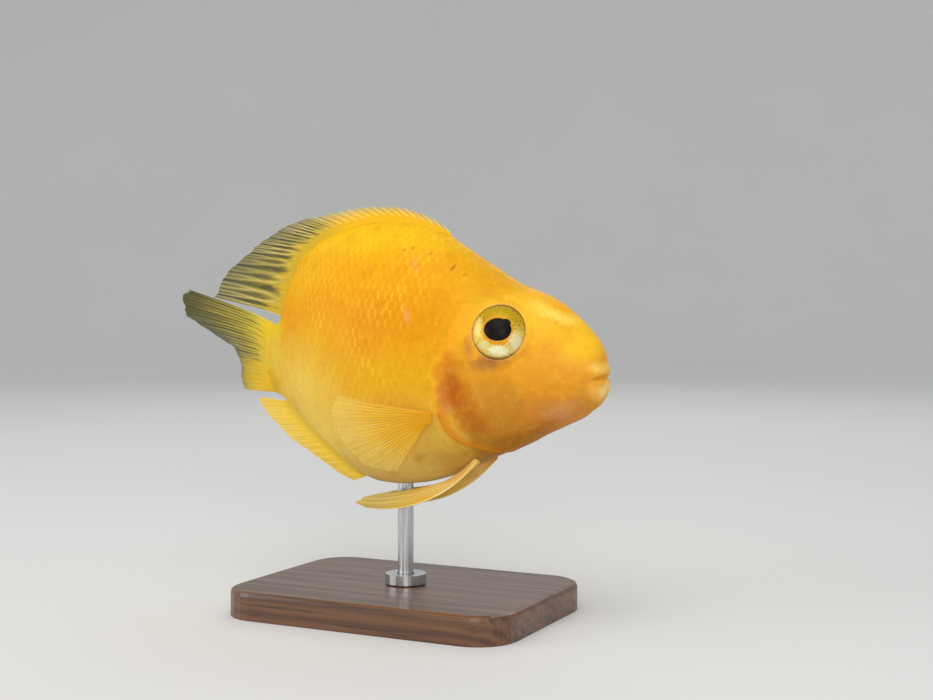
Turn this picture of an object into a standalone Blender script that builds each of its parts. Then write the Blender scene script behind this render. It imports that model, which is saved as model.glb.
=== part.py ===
"""A life-size blood parrot cichlid in its swimming pose, held over a display base by one rod.

The fish is laid out along its spine: u runs from the snout (0) to the root of the tail fin (1),
y to the fish's left and z up, all as shares of the standard length. place() bends that straight
fish along its spine and turns the shares into metres. The nose points to +X.
"""

import math

import bmesh
import bpy
import numpy as np
from mathutils import Matrix, Vector

# Driving dimensions, in metres
STANDARD_LENGTH = 0.100  # snout to the root of the tail fin
GAP = 0.0003  # kept between pieces that meet
BASE_LENGTH = 0.078
BASE_WIDTH = 0.056
BASE_HEIGHT = 0.007
BASE_CORNER = 0.010
BASE_BEVEL = 0.0012
ROD_RADIUS = 0.002
COLLAR_RADIUS = 0.0052
COLLAR_HEIGHT = 0.0024
FISH_AXIS_HEIGHT = 0.066  # the spine's height over the floor
ROD_U = 0.545  # where along the fish the rod enters the belly
ROD_IN_BASE = 0.004
ROD_IN_BELLY = 0.006

# Outlines of the straight body: (u, share of the standard length)
BACK_LINE = (
    (0.0, -0.049), (0.004, -0.020), (0.008, 0.0), (0.015, 0.021), (0.030, 0.044), (0.046, 0.062),
    (0.069, 0.086), (0.115, 0.122), (0.161, 0.147), (0.223, 0.170), (0.277, 0.201), (0.333, 0.238),
    (0.382, 0.269), (0.420, 0.293), (0.475, 0.317), (0.547, 0.332), (0.610, 0.335), (0.669, 0.328),
    (0.720, 0.318), (0.772, 0.304), (0.830, 0.280), (0.880, 0.246), (0.914, 0.200), (0.937, 0.145),
    (0.955, 0.102), (0.975, 0.078), (1.0, 0.066),
)
BELLY_LINE = (
    (0.0, -0.049), (0.003, -0.080), (0.008, -0.100), (0.015, -0.114), (0.037, -0.132),
    (0.060, -0.150), (0.106, -0.172), (0.145, -0.190), (0.198, -0.217), (0.262, -0.245),
    (0.308, -0.264), (0.362, -0.290), (0.432, -0.316), (0.506, -0.332), (0.580, -0.336),
    (0.640, -0.328), (0.700, -0.300), (0.760, -0.262), (0.821, -0.222), (0.880, -0.182),
    (0.940, -0.145), (0.975, -0.129), (1.0, -0.122),
)
HALF_WIDTH = (
    (0.0, 0.0), (0.003, 0.020), (0.010, 0.036), (0.024, 0.050), (0.050, 0.066), (0.100, 0.088),
    (0.150, 0.106), (0.220, 0.125), (0.300, 0.145), (0.400, 0.160), (0.500, 0.164), (0.600, 0.155),
    (0.700, 0.134), (0.800, 0.101), (0.900, 0.064), (1.0, 0.034),
)
WIDEST_HEIGHT = (
    (0.0, -0.049), (0.050, -0.054), (0.100, -0.040), (0.200, -0.020), (0.400, -0.030),
    (0.600, -0.020), (0.800, -0.025), (1.0, -0.028),
)
BACK_ROUNDNESS = ((0.0, 0.50), (0.150, 0.50), (0.300, 0.54), (0.500, 0.62), (0.800, 0.62), (1.0, 0.55))
BELLY_ROUNDNESS = ((0.0, 0.50), (0.300, 0.50), (0.500, 0.46), (0.700, 0.55), (1.0, 0.55))

# The spine's turn to the fish's left, in degrees, along u
SPINE_TURN = ((0.0, 0.0), (0.450, 0.0), (0.650, 5.0), (0.850, 14.0), (1.0, 20.0), (1.5, 20.0))
SPINE_REACH = 1.5
SPINE_STEPS = 600

# Where the head ends: behind the gill covers, furthest back low on the side
HEAD_END = 0.396
HEAD_END_BACK_BOW = 0.050  # how much further forward it lies on the back
HEAD_END_BELLY_BOW = 0.120
TAIL_STEM_START = 0.900
HEAD_RINGS = 24
HEAD_RING_SPREAD = 1.9  # over 1 draws the rings together at the snout
TORSO_RINGS = 22
TAIL_STEM_RINGS = 7
RING_STEP = 11.25  # degrees round the body between the loft's points
MOUTH_RING_STEPS = (2.4, 6.0)  # more points, either side of the line of the mouth

# Eyes
EYE_U = 0.230
EYE_Z = 0.056
EYE_RADIUS = 0.0067
EYE_DEPTH = 0.0034
EYE_BULGE = 0.0019

# Mouth: a slit along the widest line of the snout, a lip over it and a thicker one under it
MOUTH_BACK = 0.052
MOUTH_DEPTH = 0.0011
MOUTH_HALF_HEIGHT = 0.0035
UPPER_LIP = (0.018, 0.015, 0.00042)  # from the slit, half height, lift in metres
LOWER_LIP = (-0.030, 0.019, 0.00050)

NOSTRIL_U = 0.105
NOSTRIL_Z = 0.078
NOSTRIL_RADIUS = 0.00065

# Gill covers: degrees round from the back, u of the front edge and u of the rear edge
GILL_PLATE = (
    (76.0, 0.332, 0.342), (80.0, 0.326, 0.356), (86.0, 0.321, 0.366), (94.0, 0.312, 0.373),
    (105.0, 0.298, 0.376), (116.0, 0.284, 0.372), (127.0, 0.270, 0.359), (136.0, 0.262, 0.339),
    (143.0, 0.259, 0.317), (147.0, 0.265, 0.297),
)
GILL_THICKNESS = 0.0011
GILL_LIFT = 0.00045  # at the rear edge
GILL_FRONT_LIFT = 0.00004
GILL_CUTTER_HEIGHT = 0.0014
GILL_COLUMNS = 8

# Fins
MEMBRANE = 0.00052
RAY_SHARE = 0.26  # of the pitch between rays, from a ray's crest to its foot on the membrane
RAY_HEIGHT = 0.00028  # over the membrane, at the ray's root
ROOT_SWELL = 0.00045  # over half the membrane, where a fin grows from the body
ROOT_SWELL_REACH = 0.28  # of a ray's length
SPINE_NOTCH = 0.15  # how far the margin draws in between spines, as a share of the spine
RAY_NOTCH = 0.035
DORSAL_SPINES = 15
DORSAL_RAYS = 11
ANAL_SPINES = 7
ANAL_RAYS = 8
CAUDAL_RAYS = 16
PECTORAL_RAYS = 13
PELVIC_RAYS = 6

# Each fin's rays from first to last: (place among the rays, value)
DORSAL_FOOT = (0.412, 0.970)
DORSAL_ANGLE = (
    (0.0, 48), (0.1, 40), (0.2, 35), (0.3, 30), (0.4, 26), (0.5, 22), (0.6, 17), (0.7, 13),
    (0.8, 8), (0.9, 7), (1.0, 13),
)
DORSAL_LENGTH = (
    (0.0, 0.035), (0.1, 0.052), (0.2, 0.058), (0.3, 0.060), (0.4, 0.068), (0.5, 0.080), (0.6, 0.110),
    (0.7, 0.140), (0.8, 0.160), (0.88, 0.185), (0.94, 0.235), (1.0, 0.230),
)
DORSAL_SWEEP = ((0.0, 0), (0.55, 0), (0.7, 10), (0.8, 22), (0.9, 36), (1.0, 45))
ANAL_FOOT = (0.662, 0.952)
ANAL_ANGLE = ((0.0, -20), (0.25, -6), (0.5, -6), (0.75, -3), (1.0, 2))
ANAL_LENGTH = ((0.0, 0.045), (0.25, 0.086), (0.5, 0.120), (0.75, 0.142), (0.9, 0.150), (1.0, 0.125))
CAUDAL_ANGLE = ((0.0, 20), (0.25, 14), (0.4, 8), (0.5, 4), (0.65, 1), (1.0, -1))
CAUDAL_LENGTH = ((0.0, 0.285), (0.08, 0.310), (0.25, 0.310), (0.5, 0.325), (0.9, 0.345), (1.0, 0.325))
CAUDAL_SWEEP = (
    (0.0, 60), (0.125, 54), (0.25, 46), (0.375, 2), (0.5, -28), (0.625, -36), (0.75, -38), (1.0, -40),
)
CAUDAL_INSET = 0.003  # from the tail stem's upper and lower edge
CAUDAL_ROOT_SHARE = 0.85  # of the tail stem's half width
PECTORAL_LIFT = GAP + 0.00076  # the skin to the middle of the fin's root
PECTORAL_ROOT_SWELL = 0.0003
PELVIC_LIFT = GAP + 0.0009
PELVIC_ROOT_SWELL = 0.0004
PECTORAL_U = 0.405
PECTORAL_Z = -0.150
PECTORAL_FOOT = 0.0068
PECTORAL_ANGLE = ((0.0, -8), (0.3, 8), (0.7, 30), (1.0, 50))
PECTORAL_LENGTH = ((0.0, 0.215), (0.15, 0.235), (0.4, 0.225), (0.7, 0.195), (1.0, 0.130))
PELVIC_U = (0.326, 0.384)  # feet of the first and the last ray
PELVIC_ROUND = (160.0, 168.0)
PELVIC_SPREAD = 0.016
PELVIC_ANGLE = ((0.0, -50), (0.35, -40), (0.7, -30), (1.0, -23))
PELVIC_CURVE = ((0.0, 56), (0.35, 45), (0.7, 30), (1.0, 17))
PELVIC_LENGTH = ((0.0, 0.345), (0.35, 0.345), (0.7, 0.295), (1.0, 0.190))

SKIN = ("skin", (0.90, 0.50, 0.03), 0.45, 0.0)
FIN = ("fin", (0.86, 0.66, 0.12), 0.40, 0.0)
EYE = ("eye", (0.55, 0.47, 0.16), 0.15, 0.0)
WOOD = ("stand_wood", (0.10, 0.060, 0.040), 0.50, 0.0)
STEEL = ("stand_steel", (0.62, 0.62, 0.63), 0.30, 1.0)


def smooth_line(points):
    """A smooth line through (u, value) points. It runs over the root of u, so that the snout is blunt."""
    at = np.sqrt(np.array([p[0] for p in points], float))
    value = np.array([p[1] for p in points], float)
    slope = np.gradient(value, at)

    def line(u):
        root = np.sqrt(np.clip(u, 0.0, points[-1][0]))
        i = np.clip(np.searchsorted(at, root, side="right") - 1, 0, len(at) - 2)
        span = at[i + 1] - at[i]
        t = (root - at[i]) / span
        rise = (1 + 2 * t) * (1 - t) ** 2 * value[i] + t**2 * (3 - 2 * t) * value[i + 1]
        return rise + span * (t * (1 - t) ** 2 * slope[i] - t**2 * (1 - t) * slope[i + 1])

    return line


back_z = smooth_line(BACK_LINE)
belly_z = smooth_line(BELLY_LINE)
half_width = smooth_line(HALF_WIDTH)
widest_z = smooth_line(WIDEST_HEIGHT)
back_roundness = smooth_line(BACK_ROUNDNESS)
belly_roundness = smooth_line(BELLY_ROUNDNESS)


def bent_spine():
    """The spine in plan: u, x, y and heading at even steps."""
    u = np.linspace(0.0, SPINE_REACH, SPINE_STEPS)
    turn = np.radians(np.interp(u, *zip(*SPINE_TURN)))
    turn = np.convolve(np.pad(turn, 30, mode="edge"), np.ones(61) / 61, mode="valid")
    step = u[1] - u[0]
    x = -np.concatenate([[0], np.cumsum(np.cos((turn[1:] + turn[:-1]) / 2) * step)])
    y = np.concatenate([[0], np.cumsum(np.sin((turn[1:] + turn[:-1]) / 2) * step)])
    return u, x, y, turn


SPINE_U, SPINE_X, SPINE_Y, SPINE_HEADING = bent_spine()


def place(u, y, z):
    """A point of the straight fish, bent along the spine, in metres."""
    turn = np.interp(u, SPINE_U, SPINE_HEADING)
    x_at = np.interp(u, SPINE_U, SPINE_X) + y * math.sin(turn)
    y_at = np.interp(u, SPINE_U, SPINE_Y) + y * math.cos(turn)
    return Vector((x_at * STANDARD_LENGTH, y_at * STANDARD_LENGTH, z * STANDARD_LENGTH + FISH_AXIS_HEIGHT))


def side_y(u, z):
    """How far the skin lies from the midline at (u, z)."""
    middle = widest_z(u)
    if z >= middle:
        reach, roundness = back_z(u) - middle, back_roundness(u)
    else:
        reach, roundness = middle - belly_z(u), belly_roundness(u)
    height = min(abs(z - middle) / max(reach, 1e-6), 1.0)
    return half_width(u) * (1 - height**2) ** roundness


def section(u, angle):
    """How far out and how high the skin lies at u, angle radians round from the back."""
    middle, rise = widest_z(u), math.cos(angle)
    if rise >= 0:
        z, roundness = middle + (back_z(u) - middle) * rise, back_roundness(u)
    else:
        z, roundness = middle + (middle - belly_z(u)) * rise, belly_roundness(u)
    return half_width(u) * (1 - rise**2) ** roundness, z


def smooth_skin(u, angle):
    """The skin without the mouth; the angle runs from the back over the fish's right side."""
    y, z = section(u, angle)
    return place(u, -math.copysign(y, math.sin(angle)), z)


def bump(distance, half_width_of_bump):
    """A smooth hump, 1 at its middle."""
    return math.exp(-((distance / half_width_of_bump) ** 2))


def mouth_lift(u, angle):
    """How far the lips stand out of the snout, in metres, and how deep the slit lies in it."""
    if u >= MOUTH_BACK:
        return 0.0
    rise = math.cos(angle)
    reach = back_z(u) - widest_z(u) if rise >= 0 else widest_z(u) - belly_z(u)
    from_slit = reach * rise
    fade = 1 - (u / MOUTH_BACK) ** 2
    lips = sum(lift * bump(from_slit - middle, half) for middle, half, lift in (UPPER_LIP, LOWER_LIP))
    return lips * fade - MOUTH_DEPTH * math.sqrt(fade) * bump(from_slit, MOUTH_HALF_HEIGHT)


def skin_point(u, angle):
    """The skin with its lips and mouth, as in smooth_skin."""
    lift = mouth_lift(u, angle)
    at = smooth_skin(u, angle)
    if lift == 0.0:
        return at
    if u < 1e-6:
        return at + Vector((lift, 0.0, 0.0))
    step = min(0.002, u * 0.4)
    along = smooth_skin(u + step, angle) - smooth_skin(u - step, angle)
    round_it = smooth_skin(u, angle + 0.02) - smooth_skin(u, angle - 0.02)
    return at + along.cross(round_it).normalized() * lift


def skin_normal(u, z, side):
    """The direction out of the skin at (u, z) on a side: -1 is the fish's right."""
    step = 0.004
    along = place(u + step, side * side_y(u + step, z), z) - place(u - step, side * side_y(u - step, z), z)
    up = place(u, side * side_y(u, z + step), z + step) - place(u, side * side_y(u, z - step), z - step)
    return (along.cross(up) * side).normalized()


def material(kind):
    """The named material, made once."""
    name, colour, roughness, metallic = kind
    made = bpy.data.materials.get(name)
    if made:
        return made
    made = bpy.data.materials.new(name)
    made.use_nodes = True
    shader = made.node_tree.nodes["Principled BSDF"]
    shader.inputs["Base Color"].default_value = (*colour, 1.0)
    shader.inputs["Roughness"].default_value = roughness
    shader.inputs["Metallic"].default_value = metallic
    return made


def add_object(name, mesh, kind, smooth_angle=40.0):
    """A named object of this mesh, in the model's collection, shaded smooth."""
    mesh.materials.clear()
    mesh.materials.append(material(kind))
    mesh.shade_smooth()
    mesh.set_sharp_from_angle(angle=math.radians(smooth_angle))
    made = bpy.data.objects.new(name, mesh)
    bpy.data.collections["blood_parrot_cichlid"].objects.link(made)
    return made


def loft_mesh(name, rings):
    """A closed mesh through rings of points. A ring of one point is a pole; other ends get a fan."""
    shape = bmesh.new()
    rows = [[shape.verts.new(p) for p in ring] for ring in rings]
    for end, turned in ((0, True), (-1, False)):
        if len(rows[end]) > 1:
            middle = sum((v.co for v in rows[end]), Vector()) / len(rows[end])
            rows.insert(0 if turned else len(rows), [shape.verts.new(middle)])
    for first, second in zip(rows, rows[1:]):
        count = max(len(first), len(second))
        for i in range(count):
            j = (i + 1) % count
            near = [first[i % len(first)], first[j % len(first)]]
            far = [second[j % len(second)], second[i % len(second)]]
            shape.faces.new(list(dict.fromkeys(near + far)))
    bmesh.ops.triangulate(shape, faces=shape.faces[:])
    bmesh.ops.recalc_face_normals(shape, faces=shape.faces[:])
    mesh = bpy.data.meshes.new(name)
    shape.to_mesh(mesh)
    shape.free()
    return mesh


def sheet_mesh(name, points, half_thickness, sink=None):
    """A closed mesh round a grid of points: one face out by half_thickness, the other in by sink.

    Both faces are split into triangles alike, so that they don't cross where the sheet curves.
    """
    grid = np.array([[tuple(p) for p in row] for row in points])
    across = np.gradient(grid, axis=0)
    along = np.gradient(grid, axis=1)
    normal = np.cross(across, along)
    normal /= np.linalg.norm(normal, axis=2, keepdims=True)
    out = np.asarray(half_thickness, float)[..., None]
    inward = out if sink is None else np.asarray(sink, float)[..., None]
    shape = bmesh.new()
    rows, columns = grid.shape[:2]
    front = [[shape.verts.new(p) for p in row] for row in grid + normal * out]
    rear = [[shape.verts.new(p) for p in row] for row in grid - normal * inward]
    for i in range(rows - 1):
        for j in range(columns - 1):
            for side, turned in ((front, False), (rear, True)):
                corners = (side[i][j], side[i + 1][j], side[i + 1][j + 1], side[i][j + 1])
                for triple in ((corners[0], corners[1], corners[2]), (corners[0], corners[2], corners[3])):
                    shape.faces.new(triple[::-1] if turned else triple)
    edge = [(i, 0) for i in range(rows)] + [(rows - 1, j) for j in range(1, columns)]
    edge += [(i, columns - 1) for i in range(rows - 2, -1, -1)] + [(0, j) for j in range(columns - 2, 0, -1)]
    for (i, j), (k, m) in zip(edge, edge[1:] + edge[:1]):
        shape.faces.new((front[k][m], front[i][j], rear[i][j]))
        shape.faces.new((front[k][m], rear[i][j], rear[k][m]))
    bmesh.ops.recalc_face_normals(shape, faces=shape.faces[:])
    mesh = bpy.data.meshes.new(name)
    shape.to_mesh(mesh)
    shape.free()
    return mesh


def evaluated_mesh(piece):
    """The piece's mesh with its modifiers, its caps welded and its place in its points."""
    graph = bpy.context.evaluated_depsgraph_get()
    mesh = bpy.data.meshes.new_from_object(piece.evaluated_get(graph))
    mesh.transform(piece.matrix_world)
    shape = bmesh.new()
    shape.from_mesh(mesh)
    bmesh.ops.remove_doubles(shape, verts=shape.verts[:], dist=1e-6)
    shape.to_mesh(mesh)
    shape.free()
    return mesh


def keep_largest_body(mesh):
    """Deletes all but the largest closed surface of a mesh."""
    shape = bmesh.new()
    shape.from_mesh(mesh)
    left, bodies = set(shape.verts), []
    while left:
        found, front = set(), [next(iter(left))]
        while front:
            vertex = front.pop()
            if vertex in found:
                continue
            found.add(vertex)
            front.extend(edge.other_vert(vertex) for edge in vertex.link_edges)
        left -= found
        bodies.append(found)
    keep = max(bodies, key=len)
    bmesh.ops.delete(shape, geom=[v for v in shape.verts if v not in keep], context="VERTS")
    shape.to_mesh(mesh)
    shape.free()


def combine(target, pieces, operation):
    """Joins or cuts the target with closed pieces in one Boolean, applies it and removes the pieces."""
    group = bpy.data.collections.new("pieces")
    bpy.context.scene.collection.children.link(group)
    for piece in pieces:
        for holder in list(piece.users_collection):
            holder.objects.unlink(piece)
        group.objects.link(piece)
    step = target.modifiers.new("combine", "BOOLEAN")
    step.operation = operation
    step.operand_type = "COLLECTION"
    step.collection = group
    bpy.context.view_layer.update()
    mesh = evaluated_mesh(target)
    keep_largest_body(mesh)
    target.modifiers.clear()
    target.data = mesh
    for piece in pieces:
        bpy.data.objects.remove(piece)
    bpy.data.collections.remove(group)


def helper(mesh):
    """A piece that a Boolean uses up."""
    made = bpy.data.objects.new("piece", mesh)
    bpy.data.collections["blood_parrot_cichlid"].objects.link(made)
    return made


def head_end(angle):
    """Where along the fish the head ends, round the body."""
    rise = math.cos(angle)
    return HEAD_END - (HEAD_END_BACK_BOW * rise**2 if rise >= 0 else HEAD_END_BELLY_BOW * rise**4)


def ring_angles():
    """Angles round the body from the back, with more of them either side of the widest line."""
    angles = set(np.arange(0.0, 360.0, RING_STEP))
    for middle in (90.0, 270.0):
        angles |= {middle + turn * offset for offset in MOUTH_RING_STEPS for turn in (-1, 1)}
    return [math.radians(a) for a in sorted(angles)]


def body_rings(starts, ends, shares):
    """Rings of skin between two lines round the body, at shares of the way between them."""
    rings = []
    for share in shares:
        rings.append([skin_point(starts(a) + (ends(a) - starts(a)) * share, a) for a in ring_angles()])
    return rings


def ball(centre, axis, radius, depth, segments=24):
    """A ball flattened along an axis."""
    bpy.ops.mesh.primitive_uv_sphere_add(segments=segments, ring_count=segments // 2, radius=1.0)
    made = bpy.context.object
    turn = axis.to_track_quat("Z", "Y").to_matrix().to_4x4()
    made.data.transform(Matrix.Translation(centre) @ turn @ Matrix.Diagonal((radius, radius, depth, 1.0)))
    return made


def eye_ball(side, extra):
    """An eye on one side, larger all round by extra."""
    at = place(EYE_U, side * side_y(EYE_U, EYE_Z), EYE_Z)
    out = skin_normal(EYE_U, EYE_Z, side)
    return ball(at - out * (EYE_DEPTH - EYE_BULGE), out, EYE_RADIUS + extra, EYE_DEPTH + extra)


def gill_plate(side, extra):
    """A gill cover's mesh, larger all round by extra: its rear edge stands out a little."""
    margin = extra / STANDARD_LENGTH
    centre = (GILL_PLATE[0][0] + GILL_PLATE[-1][0]) / 2
    longer = 1 + 10 * margin
    rows = []
    for angle, front, rear in GILL_PLATE:
        turn = math.radians(centre + (angle - centre) * longer)
        columns = np.linspace(front - margin, rear + margin, GILL_COLUMNS)
        rows.append([skin_point(u, -side * turn) for u in columns])
    if side > 0:
        rows = rows[::-1]
    size = (len(rows), GILL_COLUMNS)
    grown = np.linspace(0.0, 1.0, GILL_COLUMNS) ** 1.5 * np.ones(size)
    rise = np.full(size, GILL_CUTTER_HEIGHT) if extra else GILL_FRONT_LIFT + GILL_LIFT * grown
    return sheet_mesh("gill_plate", rows, rise, np.full(size, GILL_THICKNESS + extra))


def build_head():
    shares = np.linspace(0.0, 1.0, HEAD_RINGS + 1)[1:] ** HEAD_RING_SPREAD
    rings = [[skin_point(0.0, math.pi / 2)]] + body_rings(lambda a: 0.0, head_end, shares)
    head = add_object("head", loft_mesh("head", rings), SKIN)
    cutters = []
    for side in (-1, 1):
        cutters.append(eye_ball(side, GAP))
        cutters.append(helper(gill_plate(side, GAP)))
        nostril = place(NOSTRIL_U, side * side_y(NOSTRIL_U, NOSTRIL_Z), NOSTRIL_Z)
        out = skin_normal(NOSTRIL_U, NOSTRIL_Z, side)
        cutters.append(ball(nostril, out, NOSTRIL_RADIUS, NOSTRIL_RADIUS, 10))
    combine(head, cutters, "DIFFERENCE")


def build_eyes():
    for side, name in ((-1, "eye_right"), (1, "eye_left")):
        eye = eye_ball(side, 0.0)
        mesh = eye.data
        bpy.data.objects.remove(eye)
        add_object(name, mesh, EYE)


def build_gill_covers():
    for side, name in ((-1, "gill_cover_right"), (1, "gill_cover_left")):
        add_object(name, gill_plate(side, 0.0), SKIN)


def rod_place():
    """The rod's foot and its top inside the belly."""
    at = place(ROD_U, 0.0, belly_z(ROD_U))
    return at.x, at.y, at.z + ROD_IN_BELLY


def cylinder(radius, low, high, x, y, sides=24):
    """An upright cylinder between two heights."""
    bpy.ops.mesh.primitive_cylinder_add(vertices=sides, radius=radius, depth=high - low)
    made = bpy.context.object
    made.data.transform(Matrix.Translation((x, y, (low + high) / 2)))
    return made


def build_torso():
    start_gap = 1.3 * GAP / STANDARD_LENGTH  # wider along the spine, as the face slants across it
    shares = np.linspace(0.0, 1.0, TORSO_RINGS)
    rings = body_rings(lambda a: head_end(a) + start_gap, lambda a: TAIL_STEM_START, shares)
    torso = add_object("torso", loft_mesh("torso", rings), SKIN)
    x, y, top = rod_place()
    combine(torso, [cylinder(ROD_RADIUS + GAP, 0.0, top + GAP, x, y)], "DIFFERENCE")


def build_tail_stem():
    start = TAIL_STEM_START + GAP / STANDARD_LENGTH
    rings = body_rings(lambda a: start, lambda a: 1.0, np.linspace(0.0, 1.0, TAIL_STEM_RINGS))
    add_object("tail_stem", loft_mesh("tail_stem", rings), SKIN)


def ray_columns(count):
    """Where a fin's grid has its columns: each ray's crest, and its foot on either side."""
    columns = []
    for i in range(count):
        columns += [(i + offset, offset == 0) for offset in (-RAY_SHARE, 0.0, RAY_SHARE)]
    return columns[1:-1]


def along_rays(table, q):
    """A value for the ray at q, between the numbers of a table."""
    return float(np.interp(q, *zip(*table)))


def fin_mesh(name, count, rows, point, root_half, spines=0):
    """A fin: rays as ridges on a thin membrane.

    point(q, v) is the middle of the fin, q from the first ray (0) to the last (1) and v from root (0)
    to tip (1). root_half(q) is half the root's thickness over the membrane's. The margin draws in
    deeper between the first rays, which are spines.
    """
    grid, thickness = [], []
    for at, crest in ray_columns(count):
        q = at / (count - 1)
        notch = SPINE_NOTCH if at < spines else RAY_NOTCH
        reach = 1.0 if crest else 1.0 - notch
        line, half = [], []
        for row in range(rows):
            v = reach * row / (rows - 1)
            line.append(point(q, v))
            root = root_half(q) * max(0.0, 1 - v / ROOT_SWELL_REACH) ** 1.6
            ray = RAY_HEIGHT * (1 - 0.75 * v) if crest else 0.0
            half.append(MEMBRANE / 2 + root + ray)
        grid.append(line)
        thickness.append(half)
    return sheet_mesh(name, grid, thickness)


def median_ray(u, z, angle, length, sweep, v):
    """A point at v along a ray that grows from (u, z) on the midline.

    The ray rises angle degrees to the rear and bends sweep degrees to the fish's right.
    """
    turn, bend = math.radians(angle), math.radians(sweep)
    if abs(bend) < 0.01:
        out, across = length * v, 0.0
    else:
        out, across = length * math.sin(bend * v) / bend, length * (1 - math.cos(bend * v)) / bend
    return place(u + out * math.cos(turn), -across, z + length * v * math.sin(turn))


def build_dorsal_fin():
    foot = GAP / STANDARD_LENGTH

    def point(q, v):
        u = DORSAL_FOOT[0] + (DORSAL_FOOT[1] - DORSAL_FOOT[0]) * q
        values = [along_rays(table, q) for table in (DORSAL_ANGLE, DORSAL_LENGTH, DORSAL_SWEEP)]
        return median_ray(u + foot, back_z(u) + foot * 1.6, *values, v)

    count = DORSAL_SPINES + DORSAL_RAYS
    mesh = fin_mesh("dorsal_fin", count, 7, point, lambda q: ROOT_SWELL, DORSAL_SPINES)
    add_object("dorsal_fin", mesh, FIN)


def build_anal_fin():
    foot = GAP / STANDARD_LENGTH

    def point(q, v):
        u = ANAL_FOOT[0] + (ANAL_FOOT[1] - ANAL_FOOT[0]) * q
        angle, length = along_rays(ANAL_ANGLE, q), along_rays(ANAL_LENGTH, q)
        return median_ray(u + foot, belly_z(u) - foot, angle, length, 0.0, v)

    count = ANAL_SPINES + ANAL_RAYS
    mesh = fin_mesh("anal_fin", count, 6, point, lambda q: ROOT_SWELL, ANAL_SPINES)
    add_object("anal_fin", mesh, FIN)


def build_tail_fin():
    start = 1.0 + 1.5 * GAP / STANDARD_LENGTH
    top, low = back_z(1.0) - CAUDAL_INSET, belly_z(1.0) + CAUDAL_INSET

    def point(q, v):
        values = [along_rays(table, q) for table in (CAUDAL_ANGLE, CAUDAL_LENGTH, CAUDAL_SWEEP)]
        return median_ray(start, top + (low - top) * q, *values, v)

    def root_half(q):
        round_share = math.sqrt(max(0.0, 1 - (2 * q - 1) ** 2))
        return CAUDAL_ROOT_SHARE * half_width(1.0) * STANDARD_LENGTH * round_share

    add_object("tail_fin", fin_mesh("tail_fin", CAUDAL_RAYS, 9, point, root_half), FIN)


def build_pectoral_fins():
    for side, name in ((-1, "pectoral_fin_right"), (1, "pectoral_fin_left")):
        out = skin_normal(PECTORAL_U, PECTORAL_Z, side)
        down = (Vector((0, 0, -1)) - out * out.dot(Vector((0, 0, -1)))).normalized()
        back = down.cross(out) if down.cross(out).x < 0 else -down.cross(out)
        root = place(PECTORAL_U, side * side_y(PECTORAL_U, PECTORAL_Z), PECTORAL_Z)

        def point(q, v):
            angle = math.radians(along_rays(PECTORAL_ANGLE, q))
            reach = along_rays(PECTORAL_LENGTH, q) * STANDARD_LENGTH * v
            foot = root + down * ((q - 0.5) * PECTORAL_FOOT) + out * PECTORAL_LIFT
            spread = back * (reach * math.cos(angle)) + down * (reach * math.sin(angle))
            return foot + spread + out * (reach * (0.34 - 0.20 * v))

        add_object(name, fin_mesh(name, PECTORAL_RAYS, 7, point, lambda q: PECTORAL_ROOT_SWELL), FIN)


def build_pelvic_fins():
    for side, name in ((-1, "pelvic_fin_right"), (1, "pelvic_fin_left")):

        def point(q, v):
            u = PELVIC_U[0] + (PELVIC_U[1] - PELVIC_U[0]) * q
            y, z = section(u, math.radians(PELVIC_ROUND[0] + (PELVIC_ROUND[1] - PELVIC_ROUND[0]) * q))
            lift = skin_normal(u, z, side) * PELVIC_LIFT
            start = math.radians(along_rays(PELVIC_ANGLE, q))
            curve = math.radians(along_rays(PELVIC_CURVE, q))
            scale = along_rays(PELVIC_LENGTH, q) / curve
            back = u + scale * (math.sin(start + curve * v) - math.sin(start))
            height = z + scale * (math.cos(start) - math.cos(start + curve * v))
            return place(back, side * (y + PELVIC_SPREAD * v * (1 - q)), height) + lift

        add_object(name, fin_mesh(name, PELVIC_RAYS, 6, point, lambda q: PELVIC_ROOT_SWELL), FIN)


def build_stand():
    x, y, top = rod_place()
    bpy.ops.mesh.primitive_cube_add(size=1.0)
    base = bpy.context.object
    base.data.transform(Matrix.Diagonal((BASE_LENGTH, BASE_WIDTH, BASE_HEIGHT, 1.0)))
    base.data.transform(Matrix.Translation((x, y, BASE_HEIGHT / 2)))
    shape = bmesh.new()
    shape.from_mesh(base.data)
    upright = [e for e in shape.edges if abs(e.verts[0].co.z - e.verts[1].co.z) > BASE_HEIGHT / 2]
    bmesh.ops.bevel(shape, geom=upright, offset=BASE_CORNER, segments=6, profile=0.5, affect="EDGES")
    rim = [e for e in shape.edges if all(v.co.z > BASE_HEIGHT * 0.9 for v in e.verts)]
    bmesh.ops.bevel(shape, geom=rim, offset=BASE_BEVEL, segments=2, profile=0.5, affect="EDGES")
    shape.to_mesh(base.data)
    shape.free()
    mesh = base.data
    bpy.data.objects.remove(base)
    base = add_object("stand_base", mesh, WOOD)
    hole = cylinder(ROD_RADIUS + GAP, BASE_HEIGHT - ROD_IN_BASE - GAP, BASE_HEIGHT * 2, x, y)
    combine(base, [hole], "DIFFERENCE")

    rod = cylinder(ROD_RADIUS, BASE_HEIGHT - ROD_IN_BASE, top, x, y)
    mesh = rod.data
    bpy.data.objects.remove(rod)
    add_object("stand_rod", mesh, STEEL)

    collar = cylinder(COLLAR_RADIUS, BASE_HEIGHT + GAP, BASE_HEIGHT + GAP + COLLAR_HEIGHT, x, y, 32)
    mesh = collar.data
    bpy.data.objects.remove(collar)
    collar = add_object("stand_collar", mesh, STEEL)
    combine(collar, [cylinder(ROD_RADIUS + GAP, 0.0, 0.1, x, y)], "DIFFERENCE")


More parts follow.
